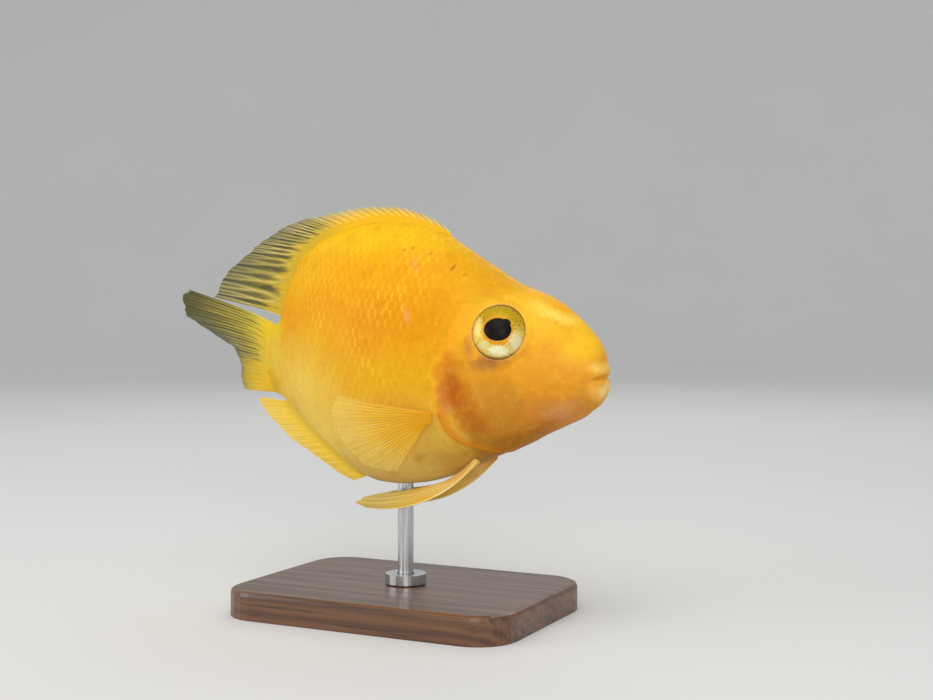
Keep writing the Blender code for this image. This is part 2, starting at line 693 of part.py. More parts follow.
def centre_on_origin():
    """Moves the whole model so that its box stands on the origin."""
    pieces = bpy.data.collections["blood_parrot_cichlid"].objects
    corners = np.array([tuple(v.co) for piece in pieces for v in piece.data.vertices])
    low, high = corners.min(axis=0), corners.max(axis=0)
    shift = Matrix.Translation((-(low[0] + high[0]) / 2, -(low[1] + high[1]) / 2, -low[2]))
    for piece in pieces:
        piece.data.transform(shift)


def main():
    for old in list(bpy.data.objects):
        bpy.data.objects.remove(old)
    model = bpy.data.collections.new("blood_parrot_cichlid")
    bpy.context.scene.collection.children.link(model)
    build_head()
    build_eyes()
    build_gill_covers()
    build_torso()
    build_tail_stem()
    build_dorsal_fin()
    build_anal_fin()
    build_tail_fin()
    build_pectoral_fins()
    build_pelvic_fins()
    build_stand()
    centre_on_origin()


main()
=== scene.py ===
import functools
import math

import bmesh
import bpy
import numpy as np
from mathutils import Matrix, Vector
from mathutils.bvhtree import BVHTree


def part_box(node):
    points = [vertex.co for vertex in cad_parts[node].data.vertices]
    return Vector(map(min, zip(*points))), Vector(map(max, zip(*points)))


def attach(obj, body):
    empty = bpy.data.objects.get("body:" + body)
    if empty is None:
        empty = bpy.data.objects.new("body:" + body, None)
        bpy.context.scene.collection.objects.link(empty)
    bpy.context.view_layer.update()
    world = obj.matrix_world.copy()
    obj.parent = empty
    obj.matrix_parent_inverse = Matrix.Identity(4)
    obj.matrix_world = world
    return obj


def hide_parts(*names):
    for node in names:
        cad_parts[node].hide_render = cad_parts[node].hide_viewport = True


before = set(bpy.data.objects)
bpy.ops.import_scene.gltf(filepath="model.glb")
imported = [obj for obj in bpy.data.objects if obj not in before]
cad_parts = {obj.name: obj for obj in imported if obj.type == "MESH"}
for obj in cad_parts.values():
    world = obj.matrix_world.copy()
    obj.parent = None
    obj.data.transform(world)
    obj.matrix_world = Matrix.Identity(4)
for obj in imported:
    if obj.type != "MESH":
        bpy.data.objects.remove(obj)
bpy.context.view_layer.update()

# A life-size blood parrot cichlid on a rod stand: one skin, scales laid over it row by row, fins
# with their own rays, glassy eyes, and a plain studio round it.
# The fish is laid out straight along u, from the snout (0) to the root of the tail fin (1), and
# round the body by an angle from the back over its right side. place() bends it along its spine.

MM = 0.001
RIGHT, LEFT = -1, 1
SIDES = {RIGHT: "right", LEFT: "left"}
RNG = np.random.default_rng(28)
RIM_ANGLE = 45.0

# The body's measures, as in the solids
STANDARD_LENGTH = 0.100
FISH_AXIS_HEIGHT = 0.066
ROD_U, DEEPEST = 0.545, 0.668
# Lines along the body: u and a height, a width or a roundness, in thousandths
BACK_LINE = (
    (0, -49), (4, -20), (8, 0), (15, 21), (30, 44), (46, 62), (69, 86), (115, 122), (161, 147), (223, 170),
    (277, 201), (333, 238), (382, 269), (420, 293), (475, 317), (547, 332), (610, 335), (669, 328),
    (720, 318), (772, 304), (830, 280), (880, 246), (914, 200), (937, 145), (955, 102), (975, 78),
    (1000, 66),
)
BELLY_LINE = (
    (0, -49), (3, -80), (8, -100), (15, -114), (37, -132), (60, -150), (106, -172), (145, -190),
    (198, -217), (262, -245), (308, -264), (362, -290), (432, -316), (506, -332), (580, -336), (640, -328),
    (700, -300), (760, -262), (821, -222), (880, -182), (940, -145), (975, -129), (1000, -122),
)
HALF_WIDTH = (
    (0, 0), (3, 20), (10, 36), (24, 50), (50, 66), (100, 88), (150, 106), (220, 125), (300, 145),
    (400, 160), (500, 164), (600, 155), (700, 134), (800, 101), (900, 64), (1000, 34),
)
WIDEST_HEIGHT = (
    (0, -49), (50, -54), (100, -40), (200, -20), (400, -30), (600, -20), (800, -25), (1000, -28),
)
BACK_ROUNDNESS = ((0, 500), (150, 500), (300, 540), (500, 620), (800, 620), (1000, 550))
BELLY_ROUNDNESS = ((0, 500), (300, 500), (500, 460), (700, 550), (1000, 550))
SPINE_TURN = ((0, 0), (0.45, 0), (0.65, 5), (0.85, 14), (1, 20), (1.5, 20))
SPINE_REACH, SPINE_STEPS, SPINE_SOFT = 1.5, 600, 30  # its bends are evened out over so many steps

# The head's forms
EYE_U, EYE_Z = 0.230, 0.056
EYE_RADIUS, EYE_DEPTH, EYE_BULGE = 6.85, 3.4, 1.9  # mm
CORNEA = 0.6  # mm, how far the eye's dome stands out of the solids' eye
PUPIL = (3.25, 2.75)  # mm, half its length and half its height
MOUTH_BACK, SLIT_BACK = 0.046, 0.025
# (middle over or under the slit as a share, half height as a share, lift in mm)
LIPS = ((0.016, 0.013, 0.25), (-0.026, 0.019, 0.4), (0.036, 0.008, -0.04), (-0.054, 0.01, -0.1))
SLIT_DEPTH, SLIT_FRONT, SLIT_REAR = 0.75, 0.0062, 0.0028
NOSTRIL, NOSTRIL_RIM, NOSTRIL_PIT = (0.105, 0.078), (0.07, 0.7, 0.3), (0.55, 0.32)
# The gill cover's edge in mm: its height, its rise's length, its rolled lip, the groove behind it with
# its length, the step between them, and how far the lip slides back over the groove
GILL_HIGH, GILL_LONG, GILL_LIP, GROOVE, GROOVE_LONG = 0.52, 4.5, 0.16, 0.30, 1.3
GILL_STEP, GILL_SLIDE = 0.12, 0.36
# Round an eye, in mm: height, distance from its axis, half width; and the socket's depth and wall
EYE_RING, EYE_HOLLOW, SOCKET = (0.24, 7.15, 0.6), (-0.16, 8.6, 0.9), (3.3, 5.7, 6.25)
SWELLING = 0.05  # mm, of the muscle and bone under the skin
# The gill cover's rear edge: degrees round from the back, u
GILL_EDGE = (
    (0, 0.3), (40, 0.318), (60, 0.328), (68, 0.334), (76, 0.342), (80, 0.353), (86, 0.366), (94, 0.373),
    (105, 0.376), (116, 0.372), (127, 0.359), (136, 0.339), (143, 0.317), (150, 0.295), (160, 0.27),
    (170, 0.254), (180, 0.248),
)
# Creases of the cheek in (u, z), each with its depth and half width in mm
CREASES = (
    (((0.325, 0.010), (0.324, -0.015), (0.320, -0.045), (0.308, -0.080), (0.285, -0.125),
      (0.250, -0.155)), -0.22, 1.6),
    (((0.300, 0.000), (0.292, -0.040), (0.276, -0.078), (0.250, -0.115)), 0.16, 1.9),
    (((0.030, -0.054), (0.034, -0.070), (0.030, -0.092)), -0.16, 0.8),
    (((0.050, -0.046), (0.075, -0.062), (0.105, -0.086)), -0.07, 1.2),
)

# The coat
SKIN_INSET = 0.20  # mm, how far the skin lies inside the solids under the scales
HEAD_INSET = 0.03
# Where the coat starts, by the angle from the back: on the nape and the flank, and on the cheek
SCALE_START = (
    (0, 0.175), (20, 0.185), (35, 0.215), (50, 0.285), (58, 0.318), (70, 0.338), (76, 0.348), (86, 0.367),
    (94, 0.374), (105, 0.377), (116, 0.373), (127, 0.36), (136, 0.34), (143, 0.318), (150, 0.296),
    (165, 0.27), (180, 0.258),
)
CHEEK_START = (
    (0, 9), (58, 9), (60, 0.3), (72, 0.285), (82, 0.262), (92, 0.205), (104, 0.165), (118, 0.15),
    (130, 0.165), (140, 0.19), (143, 9), (180, 9),
)
EYE_CLEAR, EYE_CLEAR_DEEP = 8.6, 8.0  # mm from an eye's middle to the nearest scale, across and inward
SCALE_PITCH, SCALE_ROW = 2.05, 2.4  # mm, along a row and from row to row, at the deepest section
SCALE_LONG, SCALE_WIDE = 2.2, 1.50  # a scale's length in pitches and its width in rows
SCALE_LIFT, SCALE_THICKNESS = 0.062, 0.032  # mm
SCALE_SHRINK, ROW_SHRINK = 0.35, 0.45  # how both shrink with the body's depth, as powers of it
SCALE_GRID = (6, 6)
SCALE_ROWS = 20  # over the widest line, and as many under it
COAT_BARE = (0.3, 0.5)  # mm left free along the back's line and along the belly's
COAT_REAR, CHEEK_REAR = 1.012, 0.008  # the last u, and how far before the gill edge the cheek's end
# How high scales lie as shares of SCALE_LIFT: at the coat's start, what is added and between which u
BODY_LIFT, CHEEK_LIFT, NAPE_LIFT = (0.3, 0.7, 0.02, 0.16), (0.02, 0.1, 0.01, 0.1), (0.05, 0.7, 0.18, 0.4)
NAPE = (0.36, 75.0)  # before this u and above these degrees
BELLY_FLATTER = (0.8, 104.0, 142.0)  # by what share, and between which degrees
PATCH = 0.003  # a scale's patch on the OFBake map

# The fins, as in the solids
DORSAL_SPINES, DORSAL_SOFT, ANAL_SPINES, ANAL_SOFT = 15, 11, 7, 8
CAUDAL_RAYS, PECTORAL_RAYS, PELVIC_RAYS = 16, 13, 6
DORSAL_FOOT = (0.412, 0.970)
DORSAL_ANGLE = (
    (0, 48), (0.1, 40), (0.2, 35), (0.3, 30), (0.4, 26), (0.5, 22), (0.6, 17), (0.7, 13), (0.8, 8),
    (0.9, 7), (1, 13),
)
DORSAL_LENGTH = (
    (0, 0.035), (0.1, 0.052), (0.2, 0.058), (0.3, 0.06), (0.4, 0.068), (0.5, 0.08), (0.6, 0.11),
    (0.7, 0.14), (0.8, 0.16), (0.88, 0.185), (0.94, 0.235), (1, 0.23),
)
DORSAL_SWEEP = ((0, 0), (0.55, 0), (0.7, 10), (0.8, 22), (0.9, 36), (1, 45))
ANAL_FOOT = (0.662, 0.952)
ANAL_ANGLE = ((0, -20), (0.25, -6), (0.5, -6), (0.75, -3), (1, 2))
ANAL_LENGTH = ((0, 0.045), (0.25, 0.086), (0.5, 0.12), (0.75, 0.142), (0.9, 0.15), (1, 0.125))
CAUDAL_ANGLE = ((0, 20), (0.25, 14), (0.4, 8), (0.5, 4), (0.65, 1), (1, -1))
CAUDAL_LENGTH = ((0, 0.285), (0.08, 0.31), (0.25, 0.31), (0.5, 0.325), (0.9, 0.345), (1, 0.325))
CAUDAL_SWEEP = (
    (0, 60), (0.125, 54), (0.25, 46), (0.375, 2), (0.5, -28), (0.625, -36), (0.75, -38), (1, -40),
)
CAUDAL_INSET = 0.003
PECTORAL_U, PECTORAL_Z, PECTORAL_FOOT = 0.405, -0.150, 6.8
PECTORAL_ANGLE = ((0, -8), (0.3, 8), (0.7, 30), (1, 50))
PECTORAL_LENGTH = ((0, 0.215), (0.15, 0.235), (0.4, 0.225), (0.7, 0.195), (1, 0.13))
PELVIC_U, PELVIC_ROUND, PELVIC_SPREAD = (0.326, 0.384), (160.0, 168.0), 0.016
PELVIC_ANGLE = ((0, -50), (0.35, -40), (0.7, -30), (1, -23))
PELVIC_CURVE = ((0, 56), (0.35, 45), (0.7, 30), (1, 17))
PELVIC_LENGTH = ((0, 0.345), (0.35, 0.345), (0.7, 0.295), (1, 0.19))
# Where a soft ray parts in two and each half in two again: shares of its length and how far apart
FORK, TWIG = (0.04, 0.42, 0.23), (0.45, 0.85, 0.11)
SOFT_RAY = 0.85  # a soft ray's thickness as a share of a spine's
FIN_SUNK = 1.3  # mm, how deep a fin's root goes into the body
BILLOW = 0.16  # mm, of the membrane between rays


# Small helpers
def smooth_line(points):
    """A smooth line through points given in thousandths, run over the root of u for a blunt snout."""
    at, value = np.array(points, float).T / 1000
    at = np.sqrt(at)
    slope = np.gradient(value, at)

    def line(u):
        root = np.sqrt(np.clip(u, 0.0, 1.0))
        i = np.clip(np.searchsorted(at, root, side="right") - 1, 0, len(at) - 2)
        span = at[i + 1] - at[i]
        t = (root - at[i]) / span
        rise = (1 + 2 * t) * (1 - t) ** 2 * value[i] + t**2 * (3 - 2 * t) * value[i + 1]
        return rise + span * (t * (1 - t) ** 2 * slope[i] - t**2 * (1 - t) * slope[i + 1])

    return line


def ease(low, high, value):
    """0 below low, 1 above high and smooth between them."""
    t = np.clip((value - low) / (high - low), 0.0, 1.0)
    return t * t * (3 - 2 * t)


def hump(distance, half):
    """A smooth hump, 1 at its middle."""
    return np.exp(-((distance / half) ** 2))


def from_table(table, value):
    """A value between the numbers of a table."""
    return np.interp(value, *zip(*table))


def unit(vectors):
    """The same directions at length 1."""
    return vectors / np.maximum(np.linalg.norm(vectors, axis=-1, keepdims=True), 1e-12)


def from_back(angle):
    """Degrees round from the back, alike on both sides."""
    return np.degrees(np.minimum(angle, 2 * math.pi - angle))


back_z, belly_z = smooth_line(BACK_LINE), smooth_line(BELLY_LINE)
half_width, widest_z = smooth_line(HALF_WIDTH), smooth_line(WIDEST_HEIGHT)
back_roundness, belly_roundness = smooth_line(BACK_ROUNDNESS), smooth_line(BELLY_ROUNDNESS)


def bent_spine():
    """The spine in plan: u, x, y and heading at even steps."""
    u = np.linspace(0.0, SPINE_REACH, SPINE_STEPS)
    even = np.ones(2 * SPINE_SOFT + 1) / (2 * SPINE_SOFT + 1)
    turn = np.radians(from_table(SPINE_TURN, u))
    turn = np.convolve(np.pad(turn, SPINE_SOFT, mode="edge"), even, mode="valid")
    step = u[1] - u[0]
    x = -np.concatenate([[0], np.cumsum(np.cos((turn[1:] + turn[:-1]) / 2) * step)])
    y = np.concatenate([[0], np.cumsum(np.sin((turn[1:] + turn[:-1]) / 2) * step)])
    return u, x, y, turn


SPINE = bent_spine()
SHIFT = np.zeros(3)


def place(u, y, z):
    """Points of the straight fish, bent along the spine, in metres in the frame."""
    u, y, z = np.broadcast_arrays(np.asarray(u, float), y, z)
    turn = np.interp(u, SPINE[0], SPINE[3])
    x_at = np.interp(u, SPINE[0], SPINE[1]) + y * np.sin(turn)
    y_at = np.interp(u, SPINE[0], SPINE[2]) + y * np.cos(turn)
    flat = np.stack([x_at, y_at, z], axis=-1) * STANDARD_LENGTH
    return flat + np.array([0.0, 0.0, FISH_AXIS_HEIGHT]) + SHIFT


ROD_LOW, ROD_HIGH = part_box("stand_rod")
SHIFT = np.array((*((ROD_LOW + ROD_HIGH) / 2).xy, 0.0)) - place(ROD_U, 0.0, 0.0) * (1, 1, 0)


def half_section(u, up):
    """The widest line's height, the reach from there to the back or the belly, and the roundness."""
    middle = widest_z(u)
    reach = np.where(up, back_z(u) - middle, middle - belly_z(u))
    return middle, reach, np.where(up, back_roundness(u), belly_roundness(u))


def section(u, angle):
    """How far out and how high the skin lies at u, an angle in radians round from the back."""
    rise = np.cos(angle)
    middle, reach, roundness = half_section(u, rise >= 0)
    return half_width(u) * np.clip(1 - rise**2, 0.0, 1.0) ** roundness, middle + reach * rise


def smooth_skin(u, angle):
    """The solids' skin without its mouth; the angle runs from the back over the right side."""
    y, z = section(u, angle)
    return place(u, -np.copysign(y, np.sin(angle)), z)


def skin_frame(u, angle):
    """Points of the smooth skin with the directions out of it, towards the tail and round it."""
    step = np.minimum(0.002, np.asarray(u) * 0.4 + 1e-5)
    along = smooth_skin(u + step, angle) - smooth_skin(u - step, angle)
    around = smooth_skin(u, angle + 0.02) - smooth_skin(u, angle - 0.02)
    return smooth_skin(u, angle), unit(np.cross(along, around)), unit(along), unit(around)


def side_y(u, z):
    """How far the skin lies from the midline at (u, z)."""
    middle, reach, roundness = half_section(u, z >= widest_z(u))
    height = np.minimum(np.abs(z - middle) / np.maximum(reach, 1e-6), 1.0)
    return half_width(u) * (1 - height**2) ** roundness


def side_frame(u, z, side):
    """A point of one side of the skin and the direction out of it."""
    def at(u, z):
        return place(u, side * side_y(u, z), z)

    step = 0.004
    along, up = at(u + step, z) - at(u - step, z), at(u, z + step) - at(u, z - step)
    return at(u, z), unit(np.cross(along, up)) * side


def eye_frame(side):
    """An eye's middle, and the directions out of it, to the nose and up."""
    at, out = side_frame(EYE_U, EYE_Z, side)
    nose = unit(np.array([1.0, 0.0, 0.0]) - out * out[0])
    up = np.cross(out, nose)
    up = up if up[2] > 0 else -up
    return at - out * (EYE_DEPTH - EYE_BULGE) * MM, out, nose, up


def line_distance(u, z, points):
    """Distance in mm from (u, z) to a line through points."""
    best = np.full(np.shape(u), 1e9)
    for (u1, z1), (u2, z2) in zip(points, points[1:]):
        du, dz = u2 - u1, z2 - z1
        t = np.clip(((u - u1) * du + (z - z1) * dz) / (du * du + dz * dz), 0.0, 1.0)
        best = np.minimum(best, np.hypot(u - u1 - t * du, z - z1 - t * dz))
    return best * STANDARD_LENGTH / MM


# Meshes
def make_mesh(name, points, faces):
    """A mesh of points and faces, shaded smooth."""
    mesh = bpy.data.meshes.new(name)
    mesh.from_pydata(np.asarray(points).tolist(), [], [list(f) for f in faces])
    mesh.update()
    mesh.shade_smooth()
    return mesh


def outward(mesh):
    """Turns all the faces of closed shells outwards."""
    shape = bmesh.new()
    shape.from_mesh(mesh)
    bmesh.ops.recalc_face_normals(shape, faces=shape.faces[:])
    shape.to_mesh(mesh)
    shape.free()


def sharp_rims(mesh):
    """Keeps the thin rims of plates and fins crisp, so that their faces are shaded as they lie."""
    mesh.set_sharp_from_angle(angle=math.radians(RIM_ANGLE))


def face_map(mesh, name, point_values):
    """A UV map whose values come from one pair of numbers a point."""
    corners = np.zeros(len(mesh.loops), np.int32)
    mesh.loops.foreach_get("vertex_index", corners)
    layer = mesh.uv_layers.new(name=name)
    layer.data.foreach_set("uv", np.asarray(point_values, np.float32)[corners].ravel())


def point_value(mesh, name, values):
    """A named number on each point."""
    mesh.attributes.new(name, "FLOAT", "POINT").data.foreach_set("value", np.asarray(values, np.float32))


def in_scene(name, data):
    """A new object of the scene."""
    made = bpy.data.objects.new(name, data)
    bpy.context.scene.collection.objects.link(made)
    return made


def finish_piece(name, mesh, material, nodes=()):
    """A piece of the model in its place, on the body, standing for its CAD nodes."""
    mesh.name = name
    mesh.materials.clear()
    mesh.materials.append(material)
    piece = in_scene(name, mesh)
    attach(piece, "root")
    if nodes:
        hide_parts(*nodes)


def band_faces(rows, columns, wrap=False, start=0):
    """The four-sided faces of a grid of points, row by row."""
    i = np.arange(rows - 1)[:, None]
    j = np.arange(columns if wrap else columns - 1)[None, :]
    after = (j + 1) % columns
    corners = (i * columns + j, (i + 1) * columns + j, (i + 1) * columns + after, i * columns + after)
    return np.stack(corners, axis=-1).reshape(-1, 4) + start


def closed_faces(rows, columns):
    """The faces of a closed skin: a fan at its first point, bands, and a fan at its last."""
    faces = band_faces(rows, columns, wrap=True, start=1).tolist()
    last = 1 + (rows - 1) * columns
    for j in range(columns):
        after = (j + 1) % columns
        faces += [[0, 1 + j, 1 + after], [last + j, last + columns, last + after]]
    return faces


# The skin
SKIN_COLUMNS = 300
HEAD_ROWS, EDGE_ROWS, BODY_ROWS = 165, 31, 125
FACE_END = 0.34  # the creases lie before this u
EDGE_REACH = 0.012  # in u, how far the close rows reach either side of the gill edge


def skin_grid():
    """u and angle of the skin's points: rows follow the gill cover's edge, columns crowd at the mouth."""
    even = np.arange(SKIN_COLUMNS) * 2 * math.pi / SKIN_COLUMNS
    angle = even + 0.25 * np.sin(2 * even)
    degrees = from_back(angle)
    edge = from_table(GILL_EDGE, degrees)
    head = np.linspace(0.0, 1.0, HEAD_ROWS + 1)[1:-1] ** 1.7
    near = np.linspace(-1.0, 1.0, EDGE_ROWS)
    near = np.sign(near) * np.abs(near) ** 1.5 * EDGE_REACH
    body = np.linspace(0.0, 1.0, BODY_ROWS + 1)[1:]
    rows = [(edge - EDGE_REACH) * share for share in head]
    rows += [edge + offset for offset in near]
    rows += [edge + EDGE_REACH + (1.0 - edge - EDGE_REACH) * share for share in body]
    u = np.array(rows)
    return u, np.broadcast_to(angle, u.shape), np.broadcast_to(edge, u.shape)


def gill_strength(degrees):
    """How strongly the gill cover's edge stands out, by the angle from the back."""
    top = 0.08 * ease(66.0, 84.0, degrees) + 0.92 * ease(96.0, 124.0, degrees)
    return top * (1 - 0.6 * ease(148.0, 176.0, degrees))


def skin_relief(u, angle, edge, at, eyes=True):
    """How far the skin stands out of the solids' smooth skin, and how far it slides back, in mm."""
    degrees = from_back(angle)
    z = section(u, angle)[1]
    start = from_table(GILL_EDGE, degrees)
    lift = -(HEAD_INSET + (SKIN_INSET - HEAD_INSET) * ease(start - EDGE_REACH, start + EDGE_REACH, u))

    fade = np.clip(1 - (u / MOUTH_BACK) ** 2, 0.0, 1.0) ** 1.5
    from_slit = z - widest_z(u)
    for middle, half, height in LIPS:
        lift += height * fade * hump(from_slit - middle, half)
    open_share = np.clip(1 - (u / SLIT_BACK) ** 2, 0.0, 1.0)
    slit_half = SLIT_REAR + (SLIT_FRONT - SLIT_REAR) * open_share**3
    lift -= SLIT_DEPTH * open_share * hump(from_slit, slit_half)

    front = u < FACE_END
    for points, height, half in CREASES:
        lift += np.where(front, height * hump(line_distance(u, z, points), half), 0.0)
    from_nostril = np.hypot(u - NOSTRIL[0], z - NOSTRIL[1]) * STANDARD_LENGTH / MM
    lift += NOSTRIL_RIM[0] * hump(from_nostril - NOSTRIL_RIM[1], NOSTRIL_RIM[2])
    lift -= NOSTRIL_PIT[0] * hump(from_nostril, NOSTRIL_PIT[1])

    behind = (u - edge) * STANDARD_LENGTH / MM
    strength = gill_strength(degrees)
    cover = GILL_HIGH * np.exp(np.minimum(behind, 0.0) / GILL_LONG) - GILL_LIP * ease(-0.3, 0.0, behind) ** 2
    groove = -GROOVE * np.exp(-np.maximum(behind - GILL_STEP, 0.0) / GROOVE_LONG)
    mixed = np.clip(behind / GILL_STEP, 0.0, 1.0)
    lift += strength * (cover * (1 - mixed) + groove * mixed)
    slide = strength * GILL_SLIDE * ease(-0.9, -0.05, behind) * (1 - ease(0.0, 0.2, behind))

    lift += SWELLING * np.sin(u * 61 + z * 23) * np.sin(z * 47 - u * 19 + 1.3) * ease(0.02, 0.08, u)
    for side in (RIGHT, LEFT):
        middle, out, _, _ = eye_frame(side)
        reach = at - middle
        depth = reach @ out
        radial = np.linalg.norm(reach - depth[..., None] * out, axis=-1) / MM
        here = depth > -6 * MM
        for height, middle_at, half in (EYE_RING, EYE_HOLLOW):
            lift += np.where(here, height * hump(radial - middle_at, half), 0.0)
        if eyes:
            lift -= np.where(here, SOCKET[0] * (1 - ease(*SOCKET[1:], radial)), 0.0)
    return lift, slide


def skin_points(eyes=True):
    """The skin's grid of points in metres, with u, angle and edge."""
    u, angle, edge = skin_grid()
    at, out, along, _ = skin_frame(u, angle)
    lift, slide = skin_relief(u, angle, edge, at, eyes)
    return at + (out * lift[..., None] + along * slide[..., None]) * MM, u, angle, edge


def build_skin(material):
    points, u, angle, edge = skin_points()
    snout = np.array([place(0.0, 0.0, widest_z(0.0)) - np.array([SLIT_DEPTH, 0.0, 0.0]) * MM])
    tail = points[-1].mean(axis=0, keepdims=True)
    points = np.concatenate([snout, points.reshape(-1, 3), tail])
    mesh = make_mesh("skin", points, closed_faces(len(u), SKIN_COLUMNS))
    behind = (u - edge) * STANDARD_LENGTH / MM
    roll = hump(behind + 0.5, 1.2) * gill_strength(from_back(angle))
    point_value(mesh, "gill_roll", np.concatenate([[0], roll.ravel(), [0]]))
    outward(mesh)
    unwrap = np.stack([0.02 + 0.96 * u, 0.02 + 0.96 * angle / (2 * math.pi)], axis=-1).reshape(-1, 2)
    face_map(mesh, "body_face", np.concatenate([[[0.02, 0.5]], unwrap, [[0.98, 0.5]]]))
    nodes = ("head", "torso", "tail_stem", "gill_cover_right", "gill_cover_left")
    finish_piece("skin", mesh, material, nodes)


# The scales
def arc_table():
    """Distances in metres round the right side from its widest line, up being positive, at steps of u."""
    u = np.linspace(0.12, 1.02, 300)
    degrees = np.linspace(0.5, 179.5, 360)
    points = smooth_skin(u[:, None], np.radians(degrees)[None, :])
    steps = np.linalg.norm(np.diff(points, axis=1), axis=-1)
    length = np.concatenate([np.zeros((len(u), 1)), np.cumsum(steps, axis=1)], axis=1)
    middle = np.array([np.interp(90.0, degrees, row) for row in length])
    return u, degrees, middle[:, None] - length


ARC_U, ARC_DEGREES, ARC_UP = arc_table()


def angle_at(u, up):
    """Degrees round from the back where the skin is up metres over the widest line."""
    place_in = np.clip((u - ARC_U[0]) / (ARC_U[1] - ARC_U[0]), 0, len(ARC_U) - 1.001)
    low = place_in.astype(int)
    share = place_in - low
    found = np.zeros_like(up)
    for i in np.unique(low):
        mine = low == i
        first = np.interp(-up[mine], -ARC_UP[i], ARC_DEGREES)
        second = np.interp(-up[mine], -ARC_UP[i + 1], ARC_DEGREES)
        found[mine] = first * (1 - share[mine]) + second * share[mine]
    return found


def depth_share(u):
    """The body's depth at u as a share of its greatest."""
    return (back_z(u) - belly_z(u)) / DEEPEST


def column_line():
    """u for each scale column, the columns being a pitch apart."""
    u = np.linspace(0.12, 1.02, 1801)
    pitch = SCALE_PITCH * depth_share(u) ** SCALE_SHRINK * MM / STANDARD_LENGTH
    column = np.concatenate([[0], np.cumsum(np.diff(u) / pitch[1:])])
    return u, column


COLUMN_U, COLUMN = column_line()


def scale_plate(count_long, count_wide):
    """A scale's own grid: share of its length, share of its half width and height over the skin."""
    a = np.linspace(0.0, 1.0, count_long)[:, None]
    b = np.linspace(-1.0, 1.0, count_wide)[None, :]
    long = a * (1 - 0.14 * b**2 * a)
    wide = b * (0.72 + 0.28 * np.sin(math.pi * np.minimum(a * 1.1, 1.0) * 0.62)) * (1 - 0.10 * a**4)
    lift = (a**0.9 + 0 * b) * (1 - 0.10 * b**2)
    return long, wide, lift


def scale_shells(top, bottom, rows, columns):
    """Points and faces of closed scales from their grids of outer and inner points."""
    count = len(top)
    points = np.concatenate([top.reshape(count, -1, 3), bottom.reshape(count, -1, 3)], axis=1)
    size = rows * columns
    faces = band_faces(rows, columns)
    rim = [i * columns for i in range(rows)] + [(rows - 1) * columns + j for j in range(1, columns)]
    rim += [i * columns + columns - 1 for i in range(rows - 2, -1, -1)] + list(range(columns - 2, 0, -1))
    after = rim[1:] + rim[:1]
    side = [[b, a, a + size, b + size] for a, b in zip(rim, after)]
    shell = np.concatenate([faces, faces[:, ::-1] + size, np.array(side)])
    whole = (shell[None] + np.arange(count)[:, None, None] * 2 * size).reshape(-1, 4)
    return points.reshape(-1, 3), whole


def scale_places(side):
    """Column, row, u, degrees and lift of every scale on one side, kept where the coat is."""
    middle, out, _, _ = eye_frame(side)
    kept = []
    for column in range(int(COLUMN[-1]) + 1):
        for row in range(-SCALE_ROWS, SCALE_ROWS + 1):
            at = column + 0.5 * (row % 2)
            if at > COLUMN[-1]:
                continue
            u = float(np.interp(at, COLUMN, COLUMN_U))
            up = row * SCALE_ROW * MM * float(depth_share(u)) ** ROW_SHRINK
            line = ARC_UP[int(np.clip((u - ARC_U[0]) / (ARC_U[1] - ARC_U[0]), 0, len(ARC_U) - 1))]
            if not line[-1] + COAT_BARE[1] * MM < up < line[0] - COAT_BARE[0] * MM:
                continue
            degrees = float(np.interp(-up, -line, ARC_DEGREES))
            rear = float(np.interp(at + SCALE_LONG, COLUMN, COLUMN_U))
            angle = np.radians(degrees if side == RIGHT else 360.0 - degrees)
            reach = (smooth_skin(np.array((u + rear) / 2), angle) - middle) / MM
            radial = np.linalg.norm(reach - (reach @ out) * out)
            on_body = u >= from_table(SCALE_START, degrees)
            before_gill = rear < from_table(GILL_EDGE, degrees) - CHEEK_REAR
            on_cheek = u >= from_table(CHEEK_START, degrees) and before_gill
            at_eye = reach @ out > -EYE_CLEAR_DEEP and radial < EYE_CLEAR
            if not (on_body or on_cheek) or rear > COAT_REAR or at_eye:
                continue
            (least, more, low, high), first = BODY_LIFT, from_table(SCALE_START, degrees)
            if on_cheek:
                (least, more, low, high), first = CHEEK_LIFT, from_table(CHEEK_START, degrees)
            elif u < NAPE[0] and degrees < NAPE[1]:
                (least, more, low, high), first = NAPE_LIFT, 0.0
            lift = least + more * ease(low, high, u - first)
            lift *= 1 - BELLY_FLATTER[0] * ease(*BELLY_FLATTER[1:], degrees)
            kept.append((at, row, u, degrees, lift))
    return np.array(kept)


